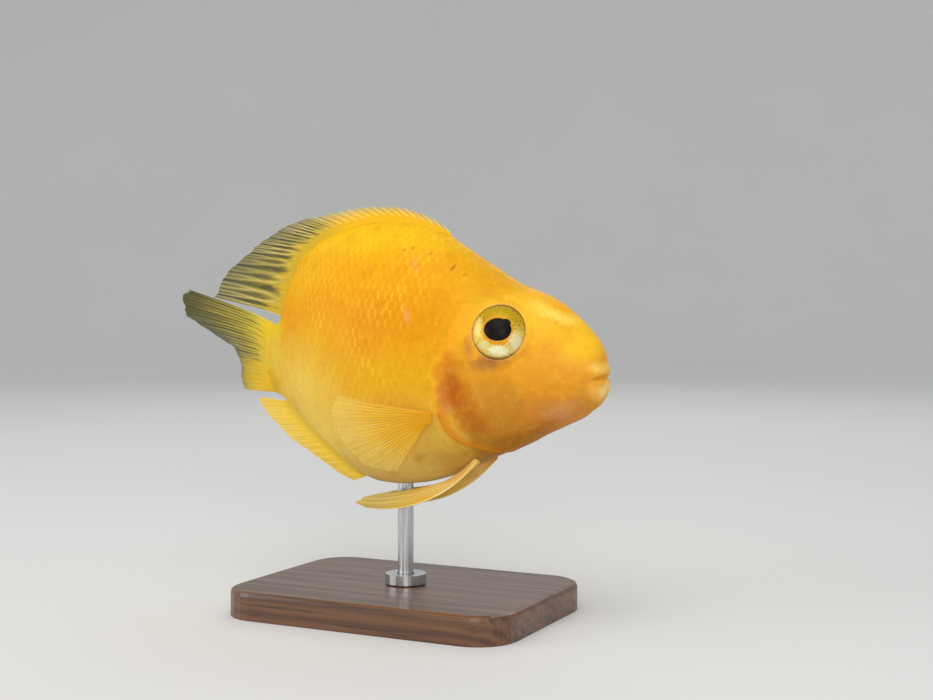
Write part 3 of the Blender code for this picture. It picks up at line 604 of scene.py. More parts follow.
def build_scales(side, material):
    places = scale_places(side)
    count = len(places)
    rows, columns = SCALE_GRID
    long, wide, lift = scale_plate(rows, columns)
    jitter = RNG.normal(0.0, 1.0, (count, 3))
    longer = SCALE_LONG * (1 + 0.03 * jitter[:, 0])
    at = places[:, 0, None, None] - 0.25 + longer[:, None, None] * long
    u = np.interp(at, COLUMN, COLUMN_U)
    row_width = SCALE_ROW * MM * depth_share(u) ** ROW_SHRINK
    slant = 0.05 * jitter[:, 1, None, None] * long
    up = row_width * (places[:, 1, None, None] + SCALE_WIDE / 2 * wide + slant)
    degrees = angle_at(u.ravel(), up.ravel()).reshape(u.shape)
    angle = np.radians(degrees if side == RIGHT else 360.0 - degrees)
    skin, out, _, _ = skin_frame(u, angle)
    under = skin_relief(u, angle, from_table(GILL_EDGE, degrees), skin)[0]
    own = SCALE_LIFT * places[:, 4, None, None] * (1 + 0.10 * jitter[:, 2, None, None]) * lift
    sunk = 0.018 + 0.027 * places[:, 4, None, None]
    height = (under - sunk + 1.6 * sunk * lift + own) * MM
    top = skin + out * height[..., None]
    thick = SCALE_THICKNESS * (0.35 + 0.65 * places[:, 4, None, None]) * MM
    bottom = skin + out * (height - thick)[..., None]
    points, faces = scale_shells(top, bottom, rows, columns)
    name = "scales_" + SIDES[side]
    mesh = make_mesh(name, points, faces)
    sharp_rims(mesh)
    point_value(mesh, "tint", np.repeat(RNG.uniform(0.0, 1.0, count), rows * columns * 2))
    point_value(mesh, "relief", np.repeat(places[:, 4], rows * columns * 2))
    outward(mesh)
    root = np.stack([0.02 + 0.96 * places[:, 2], 0.02 + 0.96 * np.radians(places[:, 3]) / (2 * math.pi)], -1)
    if side == LEFT:
        root[:, 1] = 1.0 - root[:, 1]
    own = np.stack([long - 0.5, np.broadcast_to(wide, long.shape) / 2], -1) * PATCH
    patch = (root[:, None, None, :] + own[None]).reshape(count, -1, 2)
    face_map(mesh, "OFBake", np.concatenate([patch, patch], axis=1).reshape(-1, 2))
    plain = np.stack(np.broadcast_arrays(np.linspace(0, 1, rows)[:, None], np.linspace(0, 1, columns)), -1)
    plain = np.broadcast_to(plain.reshape(1, -1, 2), (count, rows * columns, 2))
    face_map(mesh, "scale_face", np.concatenate([plain, plain], axis=1).reshape(-1, 2))
    finish_piece(name, mesh, material)


# The fins
def median_ray(u, z, angle, length, sweep, v, inward):
    """Points at v along rays that grow from the midline, rise angle degrees and bend sweep degrees.

    Under the root, where v is below 0, they run inward, a step in u and z.
    """
    turn, bend = np.radians(angle), np.radians(sweep)
    bend = np.where(np.abs(bend) < 1e-3, 1e-3, bend)
    up, down = np.maximum(v, 0.0), length * np.maximum(-v, 0.0)
    out = length * np.sin(bend * up) / bend
    across = length * (1 - np.cos(bend * up)) / bend
    high = z + length * up * np.sin(turn) + down * inward[1]
    return place(u + out * np.cos(turn) + down * inward[0], -across, high)


def straight_in(line, u, side):
    """The direction in u and z from the body's outline into the body; side is 1 on the back."""
    slope = (line(u + 0.004) - line(u - 0.004)) / 0.008
    size = np.hypot(1.0, slope)
    return side * slope / size, -side / size


def root_half(line, u, side):
    """A fin's half thickness in mm at its buried edge, kept just inside the body there."""
    reach = side * (line(u) - widest_z(u))
    rise = 1 - (FIN_SUNK * MM / STANDARD_LENGTH - 0.004) / reach
    roundness = back_roundness(u) if side > 0 else belly_roundness(u)
    return 0.80 * half_width(u) * (1 - rise**2) ** roundness * STANDARD_LENGTH / MM


def foot_u(foot, q):
    """u at a share of a fin's foot."""
    return foot[0] + (foot[1] - foot[0]) * q


def dorsal_point(q, v):
    u = foot_u(DORSAL_FOOT, q)
    values = [from_table(t, q) for t in (DORSAL_ANGLE, DORSAL_LENGTH, DORSAL_SWEEP)]
    return median_ray(u + 0.003, back_z(u) + 0.0048, *values, v, straight_in(back_z, u, 1))


def anal_point(q, v):
    u = foot_u(ANAL_FOOT, q)
    values = [from_table(t, q) for t in (ANAL_ANGLE, ANAL_LENGTH)]
    return median_ray(u + 0.003, belly_z(u) - 0.003, *values, 0.0 * q, v, straight_in(belly_z, u, -1))


def tail_point(q, v):
    top, low = back_z(1.0) - CAUDAL_INSET, belly_z(1.0) + CAUDAL_INSET
    values = [from_table(t, q) for t in (CAUDAL_ANGLE, CAUDAL_LENGTH, CAUDAL_SWEEP)]
    return median_ray(1.0045 + 0 * q, top + (low - top) * q, *values, v, (-1.0, 0.0))


def pectoral_point(side):
    root, out = side_frame(PECTORAL_U, PECTORAL_Z, side)
    down = unit(np.array([0.0, 0.0, -1.0]) + out * out[2])
    back = np.cross(down, out)
    back = back if back[0] < 0 else -back

    def point(q, v):
        angle = np.radians(from_table(PECTORAL_ANGLE, q))
        reach = from_table(PECTORAL_LENGTH, q) * STANDARD_LENGTH * v
        narrow = 0.48 + 0.52 * np.clip(v, 0.0, 1.0)
        foot = ((q - 0.5) * narrow * PECTORAL_FOOT * MM)[..., None] * down + out * 0.00106
        away = (reach * (0.34 - 0.20 * np.maximum(v, 0.0)))[..., None] * out
        spread = (reach * np.cos(angle))[..., None] * back + (reach * np.sin(angle))[..., None] * down
        return root + foot + spread + away

    return point


def pelvic_point(side):
    def point(q, v):
        u = foot_u(PELVIC_U, q)
        y, z = section(u, np.radians(foot_u(PELVIC_ROUND, q)))
        _, out = side_frame(u, z, side)
        start, curve = np.radians(from_table(PELVIC_ANGLE, q)), np.radians(from_table(PELVIC_CURVE, q))
        scale = from_table(PELVIC_LENGTH, q) / curve
        back = u + scale * (np.sin(start + curve * v) - np.sin(start))
        height = z + scale * (np.cos(start) - np.cos(start + curve * v))
        return place(back, side * (y + PELVIC_SPREAD * v * (1 - q)), height) + out * 0.0012

    return point


def membrane_mesh(name, point, count, length, spines, notches, swell, rows, half=0.06, between=6):
    """A fin's closed skin between its rays: thin, fleshy at the root, its edge drawn in between rays."""
    number = np.linspace(0.0, count - 1.0, (count - 1) * between + 1)
    q = number / (count - 1)
    apart = np.abs(number - np.round(number)) * 2
    spiny = ease(spines + 0.5, spines - 0.5, number) if spines else np.zeros_like(number)
    notch = (0.018 + notches * spiny) * apart**0.9 + 0.35 * notches * spiny + 0.012
    notch = notch + 0.008 * np.sin(number * 2.7 + 0.6) + 0.005 * np.sin(number * 7.1)
    reach_of_1mm = MM / (from_table(length, q) * STANDARD_LENGTH)
    sink = -FIN_SUNK * reach_of_1mm
    share = np.linspace(0.0, 1.0, rows)
    v = sink[:, None] + (1 - notch - sink)[:, None] * share[None, :]
    grid_q = np.broadcast_to(q[:, None], v.shape)
    grid = point(grid_q, v)
    normal = unit(np.cross(np.gradient(grid, axis=0), np.gradient(grid, axis=1)))
    billow = np.sin(math.pi * (number % 1.0))[:, None] * np.sin(number * 1.9)[:, None] * ease(0.1, 0.9, v)
    grid = grid + normal * (billow * BILLOW * MM)[..., None]
    foot_half, start, reach, power = swell
    start = start * reach_of_1mm[:, None]
    risen = np.clip((v - start) / (reach - start), 0.0, 1.0)
    root = foot_half(q)[:, None] * (1 - risen) ** power
    thick = (half * (1 - 0.45 * np.clip(v, 0, 1)) + root) * MM
    front, back = grid + normal * thick[..., None], grid - normal * thick[..., None]
    points, faces = scale_shells(front[None], back[None], *v.shape)
    mesh = make_mesh(name, points, faces)
    outward(mesh)
    sharp_rims(mesh)
    own = np.stack([np.broadcast_to(number[:, None], v.shape), np.clip(v, 0, 1)], -1).reshape(-1, 2)
    face_map(mesh, "fin_face", np.concatenate([own, own]))
    return mesh


def ray_lines(point, count, length, spines, thick, lead=1.35):
    """The rays' middle lines as (points, half thickness, share of the length, mm from the root)."""
    lines = []
    for i in range(count):
        q = i / (count - 1)
        real = float(from_table(length, q)) * STANDARD_LENGTH / MM
        sink = -1.0 / real
        slim = thick * (0.75 + 0.25 * min(1.0, real / 16.0)) * (1.0 if i < spines else SOFT_RAY)
        # each part: from and to, which half, which quarter, half thickness at both ends
        if i < spines:
            parts = [(sink, 1.0, 0.0, 0.0, lead * slim, 0.25 * slim)]
        else:
            parts = [(sink, 0.14, 0.0, 0.0, slim, 0.80 * slim)]
            for fork in (-1, 1):
                parts.append((0.06, 0.54, fork, 0.0, 0.72 * slim, 0.52 * slim))
                parts += [(0.48, 0.985, fork, twig, 0.48 * slim, 0.28 * slim) for twig in (-1, 1)]
        for low, high, fork, twig, r_low, r_high in parts:
            v = np.linspace(low, high, max(5, int((high - low) * 22)))
            apart = FORK[2] * fork * ease(*FORK[:2], v) + TWIG[2] * twig * ease(*TWIG[:2], v)
            at_q = np.clip((i + apart) / (count - 1), 0.0, 1.0)
            radius = np.linspace(r_low, r_high, len(v)) * MM
            lines.append((point(at_q, v), radius, np.clip(v, 0, 1), v * real))
    return lines


def ray_tree():
    """Geometry Nodes that turn each ray's line into a round, tapered, closed rod."""
    tree = bpy.data.node_groups.new("fin_rays", "GeometryNodeTree")
    add = functools.partial(add_node, tree)
    wanted = {"Lines": "Geometry", "Sides of a ray": "Int", "Thickness": "Float", "Finish": "Material"}
    sockets = [
        tree.interface.new_socket(name, in_out="INPUT", socket_type="NodeSocket" + kind)
        for name, kind in wanted.items()
    ]
    tree.interface.new_socket("Rays", in_out="OUTPUT", socket_type="NodeSocketGeometry")
    lines, sides, thickness, finish = list(add("NodeGroupInput").node.outputs)[:4]
    own = add("GeometryNodeInputNamedAttribute", {"Name": "half_thickness"}, data_type="FLOAT")
    given = {
        "Curve": add("GeometryNodeMeshToCurve", {"Mesh": lines}), "Scale": add(MATH, (own, thickness)),
        "Profile Curve": add("GeometryNodeCurvePrimitiveCircle", {"Resolution": sides, "Radius": 1.0}),
        "Fill Caps": True,
    }
    real = add("GeometryNodeRealizeInstances", {"Geometry": add("GeometryNodeCurveToMesh", given)})
    dressed = add("GeometryNodeSetMaterial", {"Geometry": real, "Material": finish})
    add("NodeGroupOutput", {"Rays": dressed})
    return tree, [socket.identifier for socket in sockets[1:]]


def build_rays(name, lines, material, tree, sides=7, thickness=1.0):
    """A fin's rays as one piece, made by Geometry Nodes and kept as a plain mesh."""
    points = np.concatenate([line[0] for line in lines])
    mesh = bpy.data.meshes.new(name)
    edges, start = [], 0
    for line in lines:
        edges += [(start + k, start + k + 1) for k in range(len(line[1]) - 1)]
        start += len(line[1])
    mesh.from_pydata(points.tolist(), edges, [])
    for k, title in enumerate(("half_thickness", "along", "along_mm"), start=1):
        point_value(mesh, title, np.concatenate([line[k] for line in lines]))
    maker = in_scene(name + "_lines", mesh)
    step = maker.modifiers.new("rays", "NODES")
    step.node_group = tree[0]
    for identifier, value in zip(tree[1], (sides, thickness, material)):
        step[identifier] = value
    graph = bpy.context.evaluated_depsgraph_get()
    rods = bpy.data.meshes.new_from_object(maker.evaluated_get(graph))
    bpy.data.objects.remove(maker)
    rods.shade_smooth()
    outward(rods)
    finish_piece(name, rods, material)


# The eyes
EYE_TURNS, PUPIL_RINGS, IRIS_RINGS = 112, 14, 30
LENS_RISE, LENS_SUNK, PUPIL_EDGE = 0.42, 0.13, 0.05  # mm
EYE_BACK = ((0.93, 0.7), (0.6, 1.0))  # shares of its radius, and how deep they lie in mm
EYE_BEHIND = 1.05  # mm, its hindmost point
FURROWS = ((0.022, 46, 0.0), (0.016, 31, 2.0))  # the iris's: height in mm, how many, where they start
RIM_TURNS, RIM_SIDES, RIM_WIDE, RIM_HIGH = 120, 12, 0.42, 0.24  # half its width and height in mm
RIM_SEARCH = (5.6, 7.4, 0.04)  # mm from the axis, where the skin may meet the eye


def eye_height(radial):
    """How high the eye's face stands over its middle plane, in mm, at a distance from its axis."""
    share = np.clip(radial / EYE_RADIUS, 0.0, 1.0)
    return EYE_DEPTH * np.sqrt(1 - share**2.6) + CORNEA * (1 - share**2) ** 2


def build_eye(side, material):
    """An eye: a domed iris with faint furrows and a lens that stands out of the pupil's opening."""
    middle, out, nose, up = eye_frame(side)
    theta = np.arange(EYE_TURNS) * 2 * math.pi / EYE_TURNS
    pupil = PUPIL[0] * PUPIL[1] / np.hypot(PUPIL[1] * np.cos(theta), PUPIL[0] * np.sin(theta))
    rings = []
    for share in np.arange(1, PUPIL_RINGS + 1) / PUPIL_RINGS:
        rings.append((pupil * share, eye_height(pupil * share) + (LENS_RISE * (1 - share**2) - LENS_SUNK)))
    inner = pupil + PUPIL_EDGE
    rings.append((inner, eye_height(inner) + 0.02))
    furrow = sum(height * np.sin(theta * count + start) for height, count, start in FURROWS)
    for k in range(1, IRIS_RINGS + 1):
        share = 1 - (1 - k / IRIS_RINGS) ** 1.25
        radial = inner + (EYE_RADIUS - pupil - PUPIL_EDGE) * share
        rings.append((radial, eye_height(radial) + furrow * math.sin(math.pi * share)))
    for share, depth in EYE_BACK:
        rings.append((np.full(EYE_TURNS, EYE_RADIUS * share), np.full(EYE_TURNS, -depth)))
    points = [middle + out * (eye_height(0.0) + LENS_RISE - LENS_SUNK) * MM]
    own = [(0.0, 0.0)]
    for radial, height in rings:
        plane = np.cos(theta)[:, None] * nose + np.sin(theta)[:, None] * up
        points += list(middle + plane * (radial * MM)[:, None] + out * (height * MM)[:, None])
        own += list(zip(radial * np.cos(theta), radial * np.sin(theta)))
    points.append(middle - out * EYE_BEHIND * MM)
    own.append((EYE_RADIUS, 0.0))
    mesh = make_mesh("eye_ball_" + SIDES[side], points, closed_faces(len(rings), EYE_TURNS))
    outward(mesh)
    face_map(mesh, "eye_face", np.array(own) / (2 * EYE_RADIUS) + 0.5)
    finish_piece(mesh.name, mesh, material, ("eye_" + SIDES[side],))


def build_eye_rim(side, tree, material):
    """The fleshy ring where an eye meets the skin."""
    middle, out, nose, up = eye_frame(side)
    points, own = [], []
    for k in range(RIM_TURNS):
        theta = 2 * math.pi * k / RIM_TURNS
        ray = nose * math.cos(theta) + up * math.sin(theta)
        for radial in np.arange(*RIM_SEARCH):
            hit = tree.ray_cast(Vector(middle + ray * radial * MM + out * 12 * MM), Vector(-out))[0]
            height = float((np.array(hit) - middle) @ out) / MM
            if height > float(eye_height(radial)):
                break
        centre = middle + ray * (radial + 0.16) * MM + out * (height - 0.02) * MM
        for j in range(RIM_SIDES):
            turn = 2 * math.pi * j / RIM_SIDES
            points.append(centre + (ray * math.cos(turn) * RIM_WIDE + out * math.sin(turn) * RIM_HIGH) * MM)
            own.append((k / RIM_TURNS, abs(2 * j / RIM_SIDES - 1)))
    faces = band_faces(RIM_TURNS + 1, RIM_SIDES, wrap=True) % len(points)
    mesh = make_mesh("eye_rim_" + SIDES[side], points, faces)
    outward(mesh)
    face_map(mesh, "rim_face", own)
    finish_piece(mesh.name, mesh, material)


# Nodes and colours
RANGE, MIX, MATH = "ShaderNodeMapRange", "ShaderNodeMix", "ShaderNodeMath"
VECTOR, NOISE, SPLIT = "ShaderNodeVectorMath", "ShaderNodeTexNoise", "ShaderNodeSeparateXYZ"
MAPPING, BUMP, SHADER = "ShaderNodeMapping", "ShaderNodeBump", "ShaderNodeBsdfPrincipled"
PLACE, UV, VALUE = "ShaderNodeTexCoord", "ShaderNodeUVMap", "ShaderNodeAttribute"
JOIN, MIX_SHADERS = "ShaderNodeCombineXYZ", "ShaderNodeMixShader"
# What a kind is set to unless a call says otherwise; out is the output that add_node gives
USUAL = {
    RANGE: {"interpolation_type": "SMOOTHSTEP"}, MIX: {"data_type": "RGBA", "out": 2},
    MATH: {"operation": "MULTIPLY"}, PLACE: {"out": "Object"}, VALUE: {"out": "Fac"},
}
EVEN, NUMBERS = {"interpolation_type": "LINEAR"}, {"data_type": "FLOAT", "out": 0}
PLUS, LENGTH = {"operation": "MULTIPLY_ADD"}, {"operation": "LENGTH", "out": "Value"}


def linear(code):
    """An sRGB hex colour as linear red, green, blue and 1."""
    parts = [int(code[i:i + 2], 16) / 255 for i in (1, 3, 5)]
    return (*[c / 12.92 if c <= 0.04045 else ((c + 0.055) / 1.055) ** 2.4 for c in parts], 1.0)


def add_node(tree, kind, given=(), **settings):
    """Adds a node with its settings and links, and gives one of its outputs.

    given holds a value, a hex colour or another node's output for each input, in order or by name.
    A noise takes its place, nothing, its cells a unit, its detail and its roughness, and a bump its
    strength, its depth, nothing and its height.
    """
    made = tree.nodes.new(kind)
    settings = {"out": 0, **USUAL.get(kind, {}), **settings}
    out = settings.pop("out")
    for name, value in settings.items():
        setattr(made, name, value)
    for socket, value in given.items() if isinstance(given, dict) else enumerate(given):
        if isinstance(value, bpy.types.NodeSocket):
            tree.links.new(value, made.inputs[socket])
        elif value is not None:
            code = isinstance(value, str) and value.startswith("#")
            made.inputs[socket].default_value = linear(value) if code else value
    return made.outputs[out] if len(made.outputs) else made


def material(look, *given, of=""):
    """A material named for its look, the function that lays out its nodes and gives its surface."""
    made = bpy.data.materials.new(of + look.__name__)
    made.use_nodes = True
    made.node_tree.nodes.clear()
    add = functools.partial(add_node, made.node_tree)
    add("ShaderNodeOutputMaterial", {"Surface": look(add, *given)})
    return made


def tinted(add, colour, *layers):
    """Lays colours over a colour, each by its share, or from a source between two of its values."""
    for source, *between, code in layers:
        share = add(RANGE, (source, *between[:2], 0.0, between[2])) if between else source
        colour = add(MIX, {0: share, 6: colour, 7: code})
    return colour


def spotted(add, colour, at, ragged, spots, unit, edge):
    """Lays soft, ragged ovals over a colour."""
    for x, y, half_x, half_y, tilt, code, strength, soft in spots:
        spot = add(MAPPING, {
            "Vector": at, "Location": (x * unit, y * unit, 0.0), "Rotation": (0.0, 0.0, math.radians(tilt)),
            "Scale": (half_x * unit, half_y * unit, 1.0),
        }, vector_type="TEXTURE")
        far = add(MATH, (add(VECTOR, (spot,), **LENGTH), ragged), operation="ADD")
        colour = tinted(add, colour, (far, edge, edge - soft, strength, code))
    return colour


# The body's colours in side view, painted light and shade among them, in the frame's x and z in mm
# (x, z, half length, half height, degrees of tilt, colour, strength, softness)
MARKINGS_AND_PAINTED_LIGHT = (
    (8, 73, 20, 11, 0, "#EA8A00", 0.45, 1), (-12, 70, 19, 11, 0, "#F2B214", 0.75, 1),
    # (4, 44) here and (-12, 44) below: the belly's own pale yellow, made brighter still as painted light on
    # the shaded underside
    (-17, 56, 25, 17, -18, "#F6CE54", 0.95, 1), (4, 44, 25, 10, -6, "#F6CE5C", 0.85, 1),
    (-12, 44, 15, 10, -30, "#FFDC58", 0.95, 1), (8, 98, 30, 7, -8, "#FFC204", 0.7, 1),
    (-20, 84, 14, 9, 24, "#F8BC14", 0.6, 0.9), (-32, 64, 7.5, 15, 8, "#EAC43C", 0.9, 0.8),
    (-31, 72, 6, 5.5, 0, "#F2D02A", 0.8, 0.8), (-34, 57, 6.5, 4.6, 0, "#E6B400", 0.9, 0.5),
    # (53.5, 75.4): a painted highlight, the pale band of light along the brow above the eye
    (46, 75.5, 13, 6, -20, "#FCC42C", 0.75, 0.9), (53.5, 75.4, 9.5, 1.9, -26, "#FFDA58", 0.85, 0.8),
    (60, 68.5, 7, 7, 0, "#FCC822", 0.75, 0.9), (49, 60.5, 12, 6, 0, "#E49A1C", 0.6, 0.9),
    (40, 54, 9, 9, 0, "#DB9228", 0.55, 0.9), (31.5, 56.5, 8, 14, 12, "#E28C18", 0.55, 1),
    (31.4, 58, 5.2, 12.8, 12, "#BA520C", 0.86, 1), (35, 50, 4.2, 6.8, 20, "#B65C10", 0.7, 1),
    (28.7, 56.5, 2.2, 5, 10, "#C87238", 0.7, 0.9), (29.8, 53.2, 1.3, 2, 0, "#D68C64", 0.6, 0.9),
    (30.6, 62.6, 1.6, 1.2, 0, "#CE8048", 0.5, 0.9), (36.8, 57, 1.6, 6, 20, "#E8A43A", 0.55, 0.9),
    # (40.3, 64.7) and (35, 68) here and (48, 66.5) below: the skin round the eye darker, partly its own
    # brown, partly painted shade
    (40.3, 64.7, 7.4, 2.9, 20, "#AC6638", 0.85, 0.95), (35, 68, 2.2, 5.5, 0, "#BC743A", 0.55, 0.95),
    (48, 66.5, 2.4, 3.2, -24, "#C58030", 0.2, 0.95), (55, 52.6, 7.4, 3.8, 27, "#D08C5C", 0.85, 1),
    # (45, 46): painted shade along the jaw's lower edge, over its own darker colour
    (52, 50.2, 3.4, 1.8, 27, "#C86E28", 0.6, 1), (45, 46, 13, 3.2, 25, "#A86614", 0.8, 0.9),
    # (61.2, 60) here and (60.2, 57.4) below: painted shade in the mouth's crease and in the lip fold under it
    (36.5, 42.5, 8, 4, 22, "#B0722A", 0.6, 0.9), (61.2, 60, 3, 0.9, 4, "#C08C1C", 0.35, 0.9),
    (60.2, 57.4, 1.2, 2.4, 12, "#C8901C", 0.45, 0.9), (63.8, 63.2, 3.2, 2.4, 0, "#FFD468", 0.7, 1),
    # (65.4, 57.8) here and (65.6, 63.6) below: painted highlights along the front edges of the lower and
    # upper lip
    (64.2, 57.2, 4.2, 4.2, 0, "#FCCC60", 0.65, 1), (65.4, 57.8, 1.7, 4, 0, "#FFE698", 0.85, 1),
    (65.6, 63.6, 1.6, 2.4, 0, "#FFE68C", 0.75, 1), (18.9, 87.6, 1.6, 2.6, 0, "#F4A850", 0.6, 0.9),
    (18.9, 75.2, 1.5, 3.2, 20, "#F4AC6C", 0.45, 0.9), (27, 39.5, 9, 7, -25, "#D4903C", 0.6, 1),
    (19.5, 40.3, 2.6, 2, 0, "#B88418", 0.55, 0.9), (14.4, 91.8, 0.65, 0.55, 0, "#9A4606", 0.6, 1),
    (16.4, 91.9, 0.65, 0.6, 0, "#9A4606", 0.6, 1), (21.5, 90.3, 0.75, 0.7, 30, "#9A4606", 0.6, 1),
    (27.5, 86.6, 0.7, 0.8, 0, "#9A4606", 0.65, 1), (30.9, 85.1, 0.55, 0.8, 0, "#9A4606", 0.5, 1),
)
# Body colours by height in mm; the lowest, on the belly, are partly its own pale yellow, partly painted light
# on the shaded underside
BACK_TO_BELLY = (
    (34, "#EAC668"), (46, "#EEC24A"), (60, "#EDAE12"), (74, "#F29A00"), (86, "#F8A800"), (96, "#FDC408"),
)
# The head's colours by height in mm, darker towards the chin and throat: partly their own colour, partly
# painted shade under the head
HEAD_DOWNWARDS = ((42, "#A8701C"), (52, "#D0862A"), (62, "#E69C22"), (72, "#F5B420"), (82, "#F2B010"))
CLOUD, MOTTLE, BLUSH, GRAIN = 210.0, 440.0, 170.0, 1900.0  # noise cells a metre
# Each fin's looks (root, half way, edge, pigment's share at root and edge, how strongly the dark
# line between two rays shows), the ray numbers between which its second look takes over, its rays'
# colours at root and tip, and how much paler its foremost rays are
FIN_LOOKS = {
    "dorsal": ((("#FFCA14", "#FACE34", "#DCC880", 1, 0.72, 0.15),
                ("#E6C22C", "#7C783E", "#4E4E36", 1, 0.7, 0.6)), (12.5, 17.5),
               "#FFE67C", "#E4D898", 0.88),
    "anal": ((("#FFDC44", "#FFDA40", "#F4D458", 1, 0.9, 0.05),),
        None, "#FFE46C", "#FCE68C", 0),
    "tail": ((("#F6D62C", "#968E40", "#484C34", 1, 0.77, 0.52),
              ("#FFD208", "#E2BA10", "#A08A20", 1, 0.94, 0.07)), (7.6, 9.8),
             "#F8DC50", "#989460", 0),
    "pectoral": ((("#F8BE20", "#F8CC3C", "#F8DC74", 0.7, 0.1, 0),),
        None, "#FFD84C", "#FCE47C", 0),
    "pelvic": ((("#F8D070", "#F6C83C", "#D4BC6C", 1, 0.8, 0.1),),
        None, "#FCE6A0", "#F0D470", 0),
}
EDGE_DRIFT = 0.0032  # how far the markings' edges wander, in metres
HEAD_FROM = (0.024, 0.040)  # where the head's colours take over, by x in metres
FLESH = {"IOR": 1.38, "Subsurface Radius": (1.0, 0.55, 0.15), "Coat Roughness": 0.30}
# The iris's painted highlights, pale reflections at its bottom and sides, in mm from its middle, given as the
# markings are
IRIS_PAINTED_HIGHLIGHTS = (
    (0.6, -4.9, 3, 1.3, 0, "#F4F4C8", 0.9, 0.6), (4.4, -2.4, 1.7, 2.6, 0, "#E6DCAA", 0.85, 0.6),
    (-4.9, 0.4, 1.2, 2.8, 0, "#F2DC80", 0.75, 0.6), (-2.9, -3.9, 1.6, 1.3, 0, "#E2DC94", 0.75, 0.6),
)


def height_ramp(add, height, stops):
    """Colours from the lowest stop to the highest, by height in metres."""
    low, high = stops[0][0], stops[-1][0]
    made = add("ShaderNodeValToRGB", (add(RANGE, (height, low * MM, high * MM), **EVEN),))
    ramp = made.node.color_ramp
    ramp.interpolation = "EASE"
    for k, (at, code) in enumerate(stops):
        spot = (at - low) / (high - low)
        stop = ramp.elements[k] if k < 2 else ramp.elements.new(spot)
        stop.position, stop.color = spot, linear(code)
    return made


def body_colours(add):
    """The markings, painted light and shade among them, that the skin and the scales share, from the place on
    the body.
    """
    at = add(PLACE)
    drift = add(VECTOR, (add(NOISE, (at, None, CLOUD, 3.0), out=1), (0.5, 0.5, 0.5)), operation="SUBTRACT")
    drift = add(VECTOR, {0: drift, 3: EDGE_DRIFT}, operation="SCALE")
    x, _, z = add(SPLIT, (add(VECTOR, (at, drift)),)).node.outputs
    mottle = add(NOISE, (at, None, MOTTLE, 4.0, 0.6))
    ragged = add(RANGE, (mottle, 0.3, 0.7, -0.10, 0.10), **EVEN)
    body, head = [height_ramp(add, z, stops) for stops in (BACK_TO_BELLY, HEAD_DOWNWARDS)]
    colour = tinted(add, body, (x, *HEAD_FROM, 1.0, head))
    colour = spotted(add, colour, add(JOIN, (x, z)), ragged, MARKINGS_AND_PAINTED_LIGHT, MM, 1.0)
    blush, grain = add(NOISE, (at, None, BLUSH, 3.0)), add(NOISE, (at, None, GRAIN, 2.0))
    return tinted(
        add, colour, (mottle, 0.46, 0.80, 0.24, "#FFD02C"), (mottle, 0.50, 0.22, 0.26, "#D87E0C"),
        (blush, 0.50, 0.72, 0.24, "#E28C10"), (grain, 0.45, 0.80, 0.22, "#C47C0C"),
    ), at


def satin_fish_skin(add):
    # Fish skin under satin varnish: thin pigment over pale flesh, so light glows through it softly,
    # with a fine leathery grain of about 0.4 mm and a damp sheen.
    colour, at = body_colours(add)
    roll = add(MATH, (add(VALUE, attribute_name="gill_roll"), 0.75))
    grain, folds = add(NOISE, (at, None, 2400.0, 3.0, 0.6)), add(NOISE, (at, None, 620.0, 2.0))
    pores = add("ShaderNodeTexVoronoi", {"Vector": at, "Scale": 1500.0}, feature="SMOOTH_F1")
    rough = add(MATH, (folds, 2.2, add(MATH, (pores, 0.7, grain), **PLUS)), **PLUS)
    return add(SHADER, {
        **FLESH, "Base Color": tinted(add, colour, (roll, "#DC840C")),
        "Roughness": add(RANGE, (grain, 0.2, 0.8, 0.44, 0.60), **EVEN),
        "Normal": add(BUMP, (0.42, 0.00018, None, rough)), "Specular IOR Level": 0.22,
        "Subsurface Weight": 0.15, "Subsurface Scale": 0.0018, "Coat Weight": 0.06,
    })


def silky_fish_scale(add):
    # Fish scales: thin horny plates with a silvery layer behind, drawn with a painted highlight, a pale
    # upright streak near each rear edge where the layer would catch the light, and painted shade where each
    # scale is overlapped; growth rings about 0.17 mm apart give it a silky grain.
    colour, at = body_colours(add)
    along, across, _ = add(SPLIT, (add(UV, uv_map="scale_face"),)).node.outputs
    tint, relief = [add(VALUE, attribute_name=name) for name in ("tint", "relief")]
    # painted shade: the front of each scale darker where the scale before overlaps it
    overlap_shade = add(MATH, (add(RANGE, (along, 0.78, 0.50, 0.0, 0.14)), relief))
    patchy = add(RANGE, (add(NOISE, (at, None, 70.0, 2.0)), 0.40, 0.66, 0.12, 1.0))
    # painted highlight: a pale upright streak near each scale's rear edge, where it would catch the light
    lit = add(MATH, (add(RANGE, (tint, 0.0, 1.0, 0.10, 0.54), **EVEN), add(MATH, (patchy, relief))))
    for source, middle, far, near in ((along, 0.82, 0.10, 0.02), (across, 0.5, 0.42, 0.26)):
        away = add(MATH, (add(MATH, (source, middle), operation="SUBTRACT"),), operation="ABSOLUTE")
        lit = add(MATH, (lit, add(RANGE, (away, far, near))))
    shade = add(RANGE, (tint, 0.35, 0.0, 0.0, 0.08), **EVEN)
    rings = add(MATH, (add(MATH, (along, 170.0)),), operation="SINE")
    rings = add(MATH, (add(NOISE, (at, None, 2600.0, 3.0)), 1.6, rings), **PLUS)
    return add(SHADER, {
        **FLESH, "Base Color": tinted(add, colour, (overlap_shade, "#D88E00"), (lit, "#FFD03C"), (shade, "#CC8200")),
        "Roughness": add(RANGE, (lit, 0.0, 0.5, 0.52, 0.40), **EVEN),
        "Normal": add(BUMP, (0.16, 0.00006, None, rings)), "Specular IOR Level": 0.17,
        "Subsurface Weight": 0.12, "Subsurface Scale": 0.0015, "Coat Weight": 0.03,
    })


